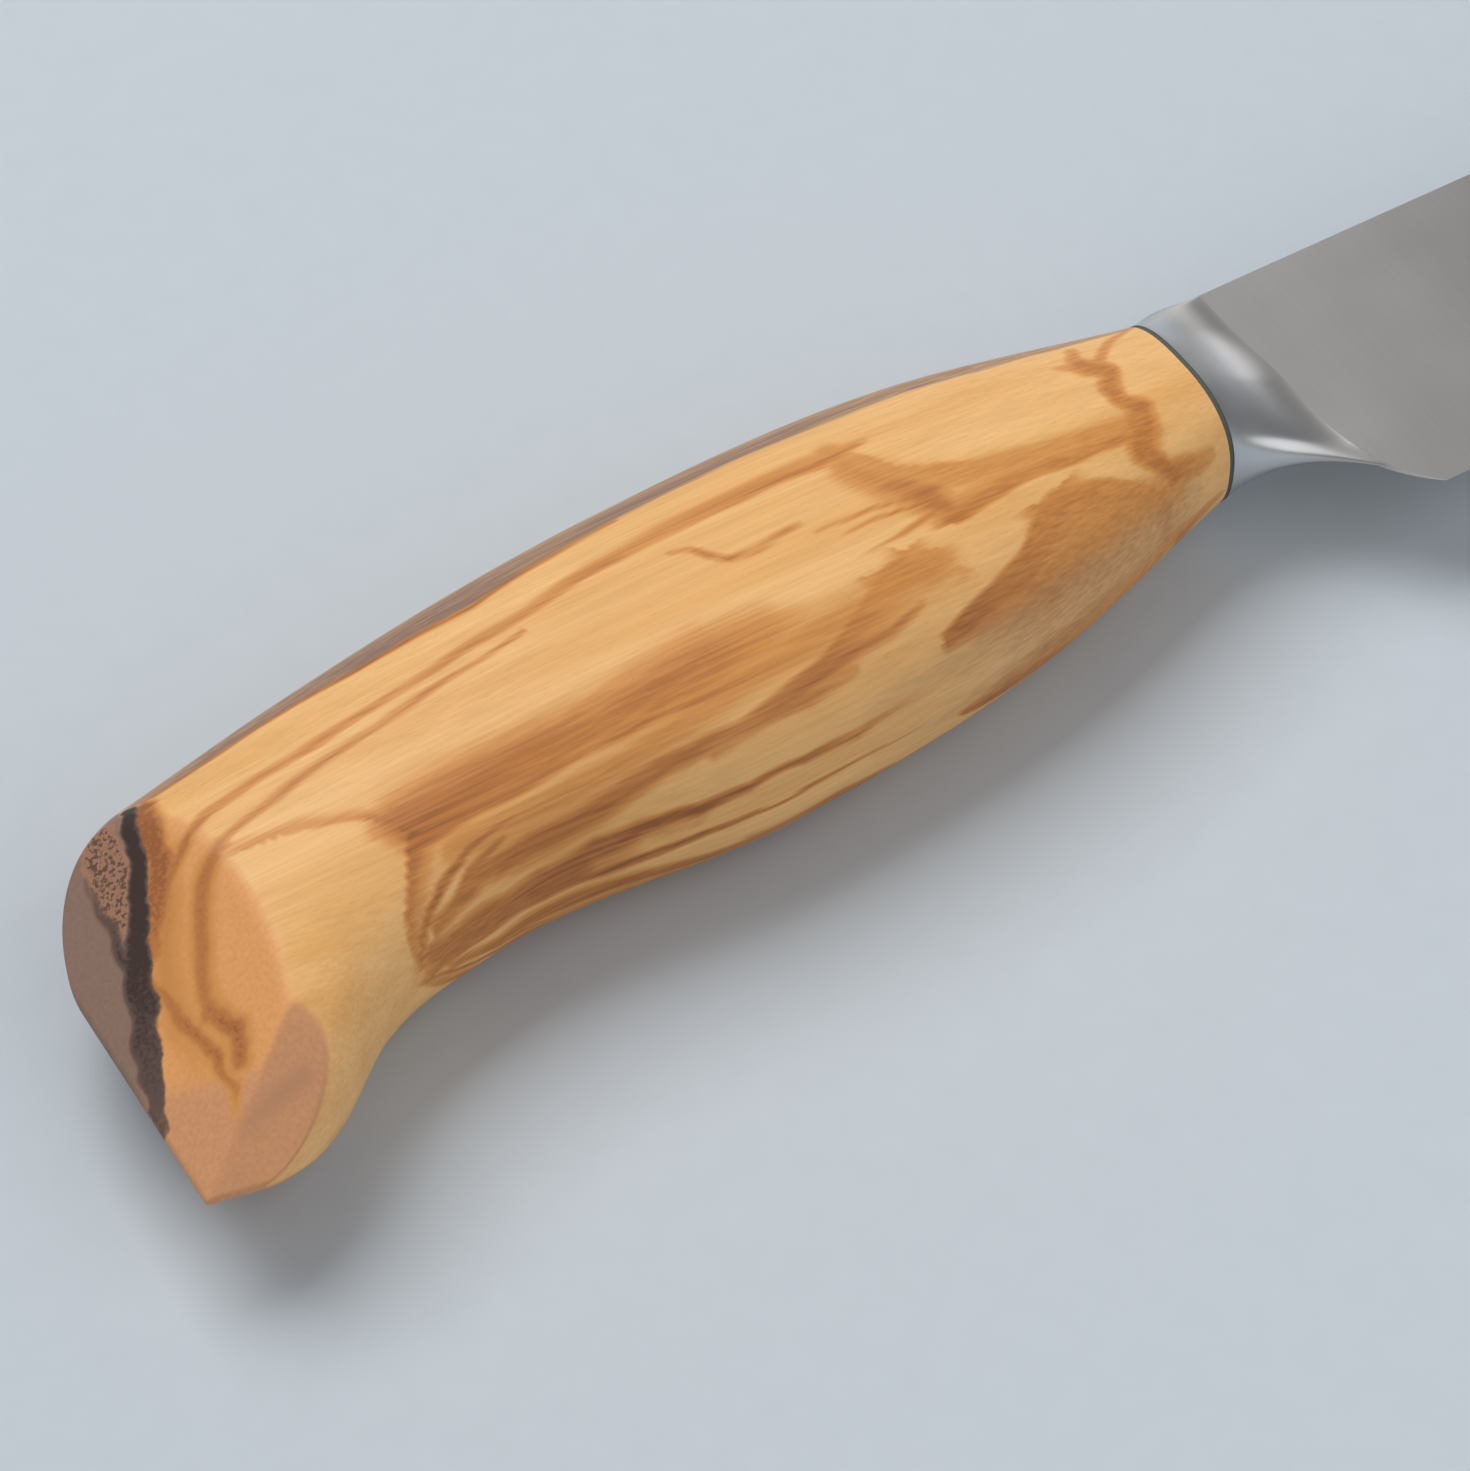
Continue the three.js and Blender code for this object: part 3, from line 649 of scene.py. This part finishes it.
corner = BUTT_CORNER_LENGTH * (1 - np.cos(np.linspace(0, np.pi / 2, CORNER_RINGS)))
x = np.concatenate([corner, np.linspace(BUTT_CORNER_LENGTH, WOOD_FRONT, GRIP_RINGS)[1:]])[:, None]
turn = np.linspace(0, 2 * np.pi, GRIP_POINTS, endpoint=False)
into_corner = np.clip(1 - x / BUTT_CORNER_LENGTH, 0, 1)
crest = grip_crest(x) - BUTT_CORNER_DROP * (1 - np.sqrt(1 - into_corner ** 2))
belly = grip_belly(x)
y = (crest + belly) / 2 + (crest - belly) / 2 * bulge(np.cos(turn), GRIP_FULLNESS)
y = np.maximum(y, -BEAK_BEVEL_DEPTH - x * math.tan(BEAK_BEVEL_TURN))
half = sanded(grip_half(x) * np.abs(bulge(np.sin(turn), GRIP_FULLNESS)), SIDE_HALF)
half = sanded(half, bevel_half(x, END_BEVEL_ANGLE))
half = sanded(half, bevel_half(beak_distance(x, y), BEAK_BEVEL_ANGLE))
z = np.sign(np.sin(turn)) * np.maximum(half, 0)
rings = np.stack(np.broadcast_arrays(x, y, z), -1)

# Olive wood, sanded and oiled: honey-coloured growth layers with orange to brown figure and one near-black
# heart vein. Fibres and pores run along the grip and show as dots on the cut end, under a satin sheen.
# Pores and strands of fibre are drawn about twice as coarse as they are, so that they show.
FIBRE_WIDTH = 0.28
FIBRE_LENGTH = 9
PORE_WIDTH = 0.12
PORE_LENGTH = 1.5
LAYER_WIDTH = 2.6
LAYER_LENGTH = 50
DOT_WIDTH = 0.32
GRAIN_DEPTH = 0.02
olive_wood, tree, shader, place = surface("oiled_olive_wood")
shader.inputs["Specular IOR Level"].default_value = 0.35
grain = {}
for name, length, width, detail in (
    ("fibre", FIBRE_LENGTH, FIBRE_WIDTH, 4),
    ("pore", PORE_LENGTH, PORE_WIDTH, 1),
    ("layer", LAYER_LENGTH, LAYER_WIDTH, 3),
    ("dot", DOT_WIDTH, DOT_WIDTH, 2),
):
    stretched = add(tree, "ShaderNodeMapping", {
        "Vector": place, "Scale": (1 / (length * MM), 1 / (width * MM), 1 / (width * MM)),
    })
    streak = add(tree, "ShaderNodeTexNoise", {"Vector": stretched.outputs[0], "Scale": 1, "Detail": detail})
    grain[name] = streak.outputs["Fac"]
tone = add(tree, "ShaderNodeValToRGB", {0: grain["layer"]})
stops = tone.color_ramp.elements
for stop, position, colour in (
    (stops[0], 0.3, "#e5ac67"),
    (stops.new(0.5), 0.5, "#ebb571"),
    (stops[1], 0.7, "#f0bd7d"),
):
    stop.position = position
    stop.color = linear(colour)
wood_tone = tone.outputs["Color"]

# Each mark on the wood darkens it by steps, and the fibres fray the mark's edge, as dots on the cut end.
end_grain = add(tree, "ShaderNodeAttribute", attribute_name="end_grain").outputs["Fac"]
for name, colour, start, end, strand, fray in (
    ("end_grain", "#e5a060", 0, 1, "fibre", 0),
    # The beak's duller colour is painted shade on the bevels that face away from the lamps.
    ("beak", "#d09468", 0, 1, "fibre", 0),
    ("figure", "#d5924d", 0, 0.45, "fibre", 0.12),
    ("figure", "#bd783c", 0.4, 0.75, "fibre", 0.12),
    ("figure", "#9a5c30", 0.7, 1.05, "fibre", 0.15),
    # Grey is partly painted light: shade at the butt edge, on the beak and along the belly, and sheen over
    # the crest.
    ("grey", "#8c6f60", 0, 0.7, "fibre", 0.15),
    ("burr", "#a3775c", 0.1, 0.5, "dot", 0.3),
    ("burr", "#62463a", 0.8, 1.4, "dot", 0.7),
    ("heart", "#604b43", 0.05, 0.5, "fibre", 0.15),
    ("heart", "#3b2823", 0.5, 0.9, "fibre", 0.15),
):
    mark = add(tree, "ShaderNodeAttribute", attribute_name=name).outputs["Fac"]
    strands = add(tree, "ShaderNodeMix", {"Factor": end_grain, 2: grain[strand], 3: grain["dot"]}).outputs[0]
    loose = add(tree, "ShaderNodeMapRange", {
        0: strands, 1: 0.35, 2: 0.65, 3: 1 - fray, 4: 1 + fray,
    }).outputs[0]
    frayed = add(tree, "ShaderNodeMath", {0: mark, 1: loose}, operation="MULTIPLY").outputs[0]
    amount = add(tree, "ShaderNodeMapRange", {
        0: frayed, 1: start, 2: end,
    }, interpolation_type="SMOOTHSTEP").outputs[0]
    wood_tone = add(tree, "ShaderNodeMix", {
        "Factor": amount, 6: wood_tone, 7: linear(colour),
    }, data_type="RGBA").outputs[2]

# Fibres and pores shade the sides by lines, and the cut end by dots.
shades = {}
for name, low, high, at_low, at_high in (
    ("fibre", 0.35, 0.7, 1.04, 0.92),
    ("pore", 0.62, 0.75, 1, 0.9),
    ("dot", 0.35, 0.65, 0.94, 1.04),
):
    shades[name] = add(tree, "ShaderNodeMapRange", {
        0: grain[name], 1: low, 2: high, 3: at_low, 4: at_high,
    }).outputs[0]
side_shade = add(tree, "ShaderNodeMath", {
    0: shades["fibre"], 1: shades["pore"],
}, operation="MULTIPLY").outputs[0]
shade = add(tree, "ShaderNodeMix", {"Factor": end_grain, 2: side_shade, 3: shades["dot"]}).outputs[0]
wood_tone = add(tree, "ShaderNodeVectorMath", {0: wood_tone, "Scale": shade}, operation="SCALE").outputs[0]
wood_rough = add(tree, "ShaderNodeMapRange", {
    0: grain["fibre"], 1: 0.3, 2: 0.7, 3: 0.42, 4: 0.56,
}).outputs[0]
wood_bump = add(tree, "ShaderNodeBump", {"Height": shade, "Distance": GRAIN_DEPTH * MM, "Strength": 0.4})
tree.links.new(wood_tone, shader.inputs["Base Color"])
tree.links.new(wood_rough, shader.inputs["Roughness"])
tree.links.new(wood_bump.outputs[0], shader.inputs["Normal"])

handle = sleeve("wood_handle", rings, TANG_HEIGHT / 2 + BEDDING, SPINE_THICKNESS / 2 + BEDDING,
                MORTISE_END, olive_wood)

# The figure in plan. A stroke has a softness and points of (station, height over the axis, width to the left
# and to the right of its run, strength), because a growth line is crisp on one side and fades on the other.
FIGURE = [
    # Brown tongue behind the pale kite of the pommel, with its darker streaks and the orange under it
    (0.9, [(24.2, -10.2, 4.2, 3.2, 0.82), (28, -10, 4.4, 2.8, 0.74), (34, -9.8, 3.8, 2.6, 0.68),
           (39.5, -9.8, 3.6, 2.4, 0.6), (44, -9.8, 4.6, 3.6, 0.66), (49, -9.5, 5, 3.4, 0.66),
           (53, -9.6, 4.4, 2.4, 0.5), (58, -9.4, 2, 1.6, 0.1)]),
    (1, [(24, -11.6, 1.6, 1.2, 0.9), (29, -11.2, 1, 0.7, 0.76), (38, -11, 0.8, 0.5, 0.66),
         (46, -11.4, 0.9, 0.6, 0.7), (53, -11.6, 0.4, 0.4, 0.5)]),
    (1, [(24.5, -9.4, 1.4, 1.4, 0.8), (31, -8.7, 0.7, 0.7, 0.62), (38, -9.4, 0.5, 0.5, 0.58)]),
    (1, [(42, -8.8, 0.4, 0.5, 0.5), (48, -8.4, 1, 1, 0.6), (53, -8.7, 0.5, 0.5, 0.4)]),
    (1, [(26, -12.6, 1.8, 1.8, 0.5), (40, -12.7, 1.6, 1.6, 0.48), (56, -11, 2.8, 2.2, 0.45),
         (68, -9.4, 2, 2, 0.25)]),
    # Borders of the kite, and the lines that fan out from under it
    (1, [(12.8, -6.3, 1.6, 0.3, 0.45), (18, -7, 1.7, 0.3, 0.45), (21.5, -8.3, 1.7, 0.3, 0.6),
         (23.4, -9.8, 1.7, 0.3, 0.85)]),
    (1, [(23.4, -9.8, 3, 0.3, 0.85), (23.6, -10.8, 3, 0.3, 0.9), (23, -12.2, 2.6, 0.3, 0.8),
         (22, -14, 2, 0.3, 0.7), (20.6, -16.4, 1.2, 0.3, 0.5)]),
    (0.8, [(21, -16.8, 0.35, 0.35, 0.6), (24, -14.4, 0.4, 0.4, 0.8), (27, -13.1, 0.4, 0.4, 0.8),
           (31, -12.4, 0.3, 0.3, 0.6)]),
    (0.8, [(23, -16, 0.3, 0.3, 0.6), (26.5, -14.1, 0.4, 0.4, 0.75), (30, -13.2, 0.3, 0.3, 0.6)]),
    # Belly lines
    (0.8, [(23, -15.8, 0.4, 0.6, 0.55), (27, -14.4, 0.7, 0.7, 0.7), (31.5, -13.9, 0.9, 0.9, 0.8),
           (37, -13.8, 0.8, 0.9, 0.78), (42.5, -13.7, 0.9, 0.8, 0.7), (48, -13.9, 0.7, 0.7, 0.66),
           (54, -14, 0.6, 0.7, 0.62), (58, -13.4, 0.5, 0.6, 0.4)]),
    (0.9, [(21.6, -16.6, 0.3, 0.3, 0.7), (26.9, -15.5, 0.3, 0.3, 0.75), (31.4, -14.9, 0.35, 0.35, 0.85),
           (35.9, -14.8, 0.35, 0.3, 0.95), (39.9, -15.1, 0.3, 0.2, 0.95), (44, -15.6, 0.2, 0.15, 0.95),
           (48.2, -15.9, 0.15, 0.1, 0.9), (52.5, -15.9, 0.15, 0.1, 0.85), (57, -15.7, 0.15, 0.1, 0.6),
           (64, -15, 0.15, 0.1, 0.1)]),
    # Two flames that rise from the belly
    (0.8, [(46, -14, 0.4, 1, 0.5), (52, -13.4, 0.5, 1.4, 0.72), (56, -12.6, 0.6, 1.8, 0.68),
           (59, -11.2, 0.6, 2.6, 0.6), (62, -9.6, 0.6, 3.6, 0.55), (64.5, -8.4, 0.6, 4.4, 0.55),
           (67, -8.5, 0.8, 4.2, 0.48), (68.5, -9.6, 0.8, 3.4, 0.3)]),
    (0.9, [(53, -13.6, 0.6, 0.7, 0.8), (58, -12.7, 0.6, 0.8, 0.8), (62, -12.2, 0.4, 0.9, 0.68),
           (65, -11.4, 0.3, 0.6, 0.5)]),
    (0.8, [(65.5, -13.7, 0.4, 0.8, 0.75), (68, -12.9, 0.5, 1.6, 0.8), (71, -12.1, 0.6, 2.4, 0.7),
           (74, -11, 0.6, 3.4, 0.66), (76.3, -9.3, 0.6, 4.2, 0.6), (78.6, -8, 0.7, 4.6, 0.58),
           (81.5, -7.9, 0.8, 4, 0.55), (84.5, -8.5, 0.8, 2.8, 0.5), (88, -9.3, 0.6, 1.5, 0.45)]),
    (1, [(70, -13.2, 1.5, 1.5, 0.4), (75, -12.4, 2.5, 2, 0.5), (80, -10.8, 3, 2.4, 0.5),
         (85, -9.6, 2.4, 2, 0.46), (90, -8.6, 1.4, 1.4, 0.4)]),
    # Two growth lines along the back, the upper one widening into a band
    (0.8, [(10.5, -3.2, 0.6, 0.5, 0.8), (13, -2, 0.8, 0.5, 0.6), (18, -1.3, 0.9, 0.5, 0.55),
           (26, -0.5, 0.8, 0.5, 0.58), (33, 0.3, 0.9, 0.6, 0.55), (40, 0.9, 1.1, 0.6, 0.55),
           (46, 1.8, 1.6, 0.5, 0.54), (53, 2.1, 2.1, 0.5, 0.52), (60, 2.3, 2.3, 0.5, 0.56),
           (65, 2.2, 2.1, 0.5, 0.56), (69.5, 2.7, 0.9, 0.4, 0.3)]),
    (1, [(43, 1.5, 0.5, 0.4, 0.5), (47, 1.9, 0.6, 0.4, 0.72), (52, 2.2, 0.4, 0.4, 0.5),
         (58, 2.4, 0.4, 0.4, 0.6), (63, 2.4, 0.6, 0.5, 0.78), (68.8, 2.7, 0.5, 0.4, 0.7)]),
    (1, [(12.6, -4.9, 0.7, 0.5, 0.7), (17, -3.7, 0.9, 0.6, 0.58), (22, -2.7, 0.9, 0.6, 0.72),
         (26, -2.2, 0.8, 0.5, 0.62), (30, -1.5, 0.8, 0.5, 0.68), (35, -1.1, 0.5, 0.4, 0.64),
         (38.9, -0.4, 0.5, 0.5, 0.72)]),
    # Hook, and the feathery patch with its wing and branch
    (1, [(51.3, 0.3, 0.4, 0.6, 0.4), (52.8, -0.1, 0.5, 0.7, 0.6), (53.7, -1.4, 0.7, 0.8, 0.7),
         (54.7, -2.5, 0.7, 0.6, 0.72), (56.5, -2.7, 0.7, 0.5, 0.6), (61, -1.9, 0.5, 0.4, 0.65)]),
    (1, [(66.5, 3, 2, 2, 0.48), (66.8, 0.5, 3, 3, 0.5), (68.5, -2.2, 4, 3.4, 0.62), (70, -4.4, 4, 3, 0.78),
         (70.8, -5.8, 2.6, 1.6, 0.72)]),
    (0.9, [(68.2, 1.5, 0.5, 2.4, 0.42), (69.8, -1, 0.6, 3, 0.5), (72.8, -1.9, 0.6, 3, 0.5),
           (76.5, -3.5, 0.4, 1, 0.42)]),
    (1, [(68, -1.5, 3, 3, 0.4), (74, -3.6, 2.6, 3, 0.45), (80, -4.2, 2, 2.4, 0.45),
         (87, -4.2, 1.6, 1.8, 0.42)]),
    (1, [(61, -3.2, 0.2, 0.2, 0.4), (65, -3.5, 0.35, 0.3, 0.65), (69, -3.8, 0.4, 0.4, 0.7)]),
    (1, [(62.5, -4.4, 0.2, 0.2, 0.4), (66, -4.5, 0.35, 0.3, 0.7), (70, -4.7, 0.4, 0.4, 0.7)]),
    (1, [(63, -6.7, 0.2, 0.2, 0.3), (66.5, -6.3, 0.35, 0.35, 0.7), (70, -5.6, 0.4, 0.4, 0.7)]),
    (0.9, [(70.5, -6.9, 2.8, 0.5, 0.72), (74.5, -6.4, 2.6, 0.5, 0.62), (79, -5.9, 2.1, 0.5, 0.56),
           (83, -5.7, 2.2, 0.6, 0.54), (87, -5.5, 1.6, 0.7, 0.6)]),
    # Zigzag near the bolster
    (0.8, [(89, 4.4, 0.8, 0.8, 0.5), (88, 2.2, 1.5, 1.5, 0.64), (90, 1, 1.4, 1.4, 0.64),
           (89, -0.8, 1.5, 1.5, 0.64), (88.7, -2.2, 1.4, 1.4, 0.64), (89.8, -3.3, 1.7, 1.7, 0.64),
           (88.6, -5, 2.4, 2.4, 0.64), (87.8, -6.7, 2.2, 2, 0.68), (89, -8.3, 1.3, 1.3, 0.68),
           (91.5, -8, 1, 0.8, 0.5), (94, -7.4, 0.5, 0.4, 0.3)]),
    (0.8, [(86.4, 2.9, 0.7, 0.7, 0.3), (88, 2.2, 1, 1, 0.6)]),
    (0.8, [(89.8, 2.2, 0.7, 0.7, 0.5), (92, 3.8, 0.6, 0.6, 0.5), (94.6, 5, 0.5, 0.5, 0.35)]),
    # Red-brown lower edge of the stripe under the crest
    (1, [(11, 2.7, 0.5, 0.4, 0.8), (20, 3.8, 0.6, 0.5, 0.8), (30, 4.1, 0.7, 0.5, 0.9),
         (37, 4.2, 0.7, 0.5, 0.9), (43, 5.2, 0.6, 0.5, 0.8), (50, 6.1, 0.5, 0.4, 0.65)]),
    # Lines of the end bevel, and the brown beside its vein
    (1, [(9, -3.5, 2.2, 2.2, 0.6), (5.6, -9.5, 2.2, 2.2, 0.55), (4.4, -14, 2.2, 2.2, 0.5),
         (4, -18, 1.6, 1.6, 0.2)]),
    (1, [(10.5, -3.2, 1.2, 1, 0.8), (8.4, -4.5, 1.3, 1.1, 0.82), (6.2, -7, 1.2, 1.1, 0.78)]),
    (1, [(12.4, -5, 1.3, 1, 0.76), (10.2, -6.6, 1.6, 1.4, 0.8), (8.6, -9, 1.7, 1.6, 0.8),
         (7.2, -12, 1.6, 1.4, 0.76), (5.8, -15, 1.2, 1, 0.7)]),
    (1, [(4.4, -9.8, 1, 1, 0.76), (4.6, -14, 1.2, 1.2, 0.8), (5.2, -18, 1.1, 1.1, 0.82),
         (4.9, -20.6, 0.9, 0.9, 0.7), (4.2, -23, 0.6, 0.6, 0.2)]),
    (1, [(6.4, -14.2, 1.5, 1.5, 0.76), (7, -17, 1.8, 1.8, 0.95), (6.3, -19.4, 1.2, 1.2, 0.78)]),
    (0.7, [(9.8, 2, 1.6, 1, 1), (8.6, -2.4, 1.8, 1, 1), (6.8, -5.4, 1.5, 0.8, 0.92),
           (5.4, -8, 1.1, 0.6, 0.7)]),
]
BURR = [
    # Mottled brown between the vein and the grey-brown wood at the butt edge
    (0.5, [(6.4, 1.8, 1.8, 1.8, 1), (5.8, -1, 1.9, 1.9, 1), (4.8, -3.8, 1.3, 1.3, 0.9),
           (4.2, -5, 0.8, 0.8, 0.5)]),
]
HEART = [
    # Vein across the end bevel, and its side branch
    (0.5, [(9.2, 2.8, 0.6, 0.6, 1), (7.9, -1, 0.7, 0.7, 1), (6.2, -4.4, 0.8, 0.9, 1),
           (4.2, -8.6, 0.9, 1.6, 0.85), (2.7, -12.4, 0.9, 1.5, 0.7), (1.2, -16, 0.8, 1.2, 0.6),
           (0.4, -19, 0.6, 0.8, 0.4)]),
    (1, [(4.6, 0.6, 0.5, 0.5, 0.3), (4.2, -2.5, 0.6, 0.6, 0.5), (4, -5.5, 0.7, 0.7, 0.7),
         (3.4, -9, 0.8, 0.8, 0.9)]),
]
GREY = [
    # Grey-brown left of the vein: partly darker wood, partly painted shade towards the butt edge
    (0.4, [(5.8, 3.4, 3.6, 3.6, 0.9), (4.8, 0.5, 3.8, 3.8, 0.9), (3.2, -3, 3.6, 3.6, 0.9),
           (1.6, -8, 3.2, 3.2, 0.9), (0.4, -13, 2.2, 2.2, 0.8), (0, -17, 1.4, 1.4, 0.5)]),
    # Painted shade: a grey cast on the beak and along the belly edge, where the wood turns down to the table
    (1, [(4, -23.2, 1.2, 1.2, 0.16), (7, -22.8, 1.6, 1.6, 0.24), (9.4, -22.4, 1.4, 1.4, 0.24)]),
    (1, [(58, -15.4, 0.8, 0.8, 0.15), (72, -13.8, 1.6, 1.6, 0.26), (82, -11.8, 1.6, 1.6, 0.26),
         (92, -8.8, 1, 1, 0.2)]),
    # Stripe over the crest: a dark band in the wood, greyed by painted sheen where the crest mirrors the room
    (0.9, [(10.2, 3, 3, 0.6, 0.5), (20, 4.2, 5, 0.6, 0.55), (30, 4.6, 6, 0.6, 0.6), (37, 4.8, 7, 0.6, 0.6),
           (43, 5.6, 7, 0.6, 0.55), (50, 6.6, 6, 0.7, 0.55), (60, 7, 6, 0.7, 0.55), (75, 6.8, 6, 0.7, 0.5),
           (86, 6, 5, 0.7, 0.45), (95, 5.2, 3, 0.5, 0.35)]),
]


def stroke_field(strokes, x, y):
    """How strongly the strokes mark each point of the plan, from 0 to 1."""
    field = np.zeros(x.shape)
    for softness, track in strokes:
        for start, end in zip(np.array(track), np.array(track)[1:]):
            run, climb = end[:2] - start[:2]
            passed = (x - start[0]) * run + (y - start[1]) * climb
            share = np.clip(passed / (run ** 2 + climb ** 2), 0, 1)
            aside_x, aside_y = x - start[0] - share * run, y - start[1] - share * climb
            left, right, strength = (start[i] + share * (end[i] - start[i]) for i in (2, 3, 4))
            width = np.where(run * aside_y - climb * aside_x > 0, left, right)
            depth = smoothstep(0, softness, 1 - np.hypot(aside_x, aside_y) / width)
            field = np.maximum(field, depth * strength)
    return field


points = np.empty(len(handle.data.vertices) * 3, np.float32)
handle.data.vertices.foreach_get("co", points)
x, y, z = ((points.reshape(-1, 3) - knife_origin) / MM).T


def wander(along, across, start):
    """Smooth noise at each point of the wood, in lumps of a length and a width."""
    return np.array([noise.noise(p) for p in np.stack([x / along + start, y / across, z / across], -1)])


# The figure wanders a little, less so where the surface is steep. Under the middle plane it drifts, as layers
# do that lean through the block.
LEAN_ALONG = 0.6
LEAN_ACROSS = 0.35
SWAY_LUMP = (5, 2)
SWAY_ALONG = 0.35
SWAY_ACROSS = 0.3
RIPPLE_LUMP = (6, 0.8)
RIPPLE_ALONG = 0.2
normals = np.empty(len(x) * 3, np.float32)
handle.data.vertices.foreach_get("normal", normals)
flat = normals[2::3] ** 2
under = np.minimum(z, 0)
plan_x = x + LEAN_ALONG * under + SWAY_ALONG * wander(*SWAY_LUMP, 0) + RIPPLE_ALONG * wander(*RIPPLE_LUMP, 40)
plan_y = y - LEAN_ACROSS * under + SWAY_ACROSS * flat * wander(*SWAY_LUMP, 80)

# The cut end shows on both pairs of bevels. The duller beak takes in the lower pair, and the upper pair below
# a slanting line; its duller tone is painted shade, where these bevels face away from the lamps.
CUT_BLEND = 0.4
BEAK_BLEND = 0.3
BEAK_LINE_SLANT = 0.7
BEAK_LINE_HEIGHTS = (-14, -18)
end_cut = bevel_half(x, END_BEVEL_ANGLE) - np.abs(z)
beak_cut = bevel_half(beak_distance(x, y), BEAK_BEVEL_ANGLE) - np.abs(z)
on_cut = smoothstep(CUT_BLEND, 0, np.minimum(end_cut, beak_cut))
on_beak = smoothstep(BEAK_BLEND, -BEAK_BLEND, beak_cut - end_cut)
below_line = smoothstep(*BEAK_LINE_HEIGHTS, y + BEAK_LINE_SLANT * x)
for name, value in (
    ("end_grain", on_cut),
    ("beak", on_cut * np.maximum(on_beak, below_line)),
    ("grey", stroke_field(GREY, plan_x, plan_y)),
    ("figure", stroke_field(FIGURE, plan_x, plan_y)),
    ("burr", stroke_field(BURR, plan_x, plan_y)),
    ("heart", stroke_field(HEART, plan_x, plan_y)),
):
    handle.data.attributes.new(name, "FLOAT", "POINT").data.foreach_set("value", value.astype(np.float32))
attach(handle, "root")
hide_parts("handle")

# Studio
# A pale blue-grey table that the knife lies on, in a dim room. A large soft lamp hangs over the spine side,
# with a low window and a weak fill.
# Matt painted board: an even pale tone with a faint roller mottle.
ROLLER_MOTTLE = 3
FLOOR_HALF = 1.5
floor_material, tree, shader, place = surface("matt_painted_board")
shader.inputs["Roughness"].default_value = 0.9
mottle = add(tree, "ShaderNodeTexNoise", {"Vector": place, "Scale": 1 / (ROLLER_MOTTLE * MM), "Detail": 2})
board_tone = add(tree, "ShaderNodeMix", {
    "Factor": mottle.outputs["Fac"], 6: linear("#c2cad1"), 7: linear("#c6ced5"),
}, data_type="RGBA")
tree.links.new(board_tone.outputs[2], shader.inputs["Base Color"])
floor_level = cad_box[0][2]
floor_mesh = bpy.data.meshes.new("table_top")
floor_mesh.from_pydata([
    (sx * FLOOR_HALF, sy * FLOOR_HALF, floor_level) for sx, sy in ((-1, -1), (1, -1), (1, 1), (-1, 1))
], [], [(0, 1, 2, 3)])
floor_mesh.materials.append(floor_material)
floor = bpy.data.objects.new("table_top", floor_mesh)
bpy.context.collection.objects.link(floor)

world = bpy.data.worlds.new("room")
world.use_nodes = True
background = world.node_tree.nodes["Background"]
background.inputs["Color"].default_value = linear("#eceef0")
background.inputs["Strength"].default_value = 0.28
bpy.context.scene.world = world


def point_at(thing, place, aim):
    """Sets a lamp or camera at a place, level, looking at an aim; both in millimetres on the knife."""
    start, end = (Vector(in_frame(*spot)[0]) for spot in (place, aim))
    thing.location = start
    thing.rotation_euler = (end - start).to_track_quat("-Z", "Y").to_euler()
    bpy.context.collection.objects.link(thing)


AIM = (50.6, -9.6, 0)
for name, place, width, height, watts in (
    ("ceiling_softbox", (-60, 480, 850), 0.7, 0.7, 7.4),
    ("window", (680, 640, 150), 0.55, 0.3, 0.6),
    ("front_fill", (200, -400, 350), 0.6, 0.6, 1.1),
):
    lamp = bpy.data.lights.new(name, "AREA")
    lamp.shape = "RECTANGLE"
    lamp.size = width
    lamp.size_y = height
    lamp.energy = watts
    point_at(bpy.data.objects.new(name, lamp), place, AIM)

VIEW_DISTANCE = 313.7
VIEW_TURN = math.radians(31.74)
VIEW_ELEVATION = math.radians(50)
VIEW_LENS = 107.557
view = np.array([
    math.sin(VIEW_TURN) * math.cos(VIEW_ELEVATION),
    math.cos(VIEW_TURN) * math.cos(VIEW_ELEVATION),
    -math.sin(VIEW_ELEVATION),
])
lens = bpy.data.cameras.new("camera")
lens.sensor_fit = "HORIZONTAL"
lens.lens = VIEW_LENS
camera = bpy.data.objects.new("camera", lens)
point_at(camera, np.array(AIM) - VIEW_DISTANCE * view, AIM)
bpy.context.scene.camera = camera
bpy.context.scene.view_settings.view_transform = "Standard"
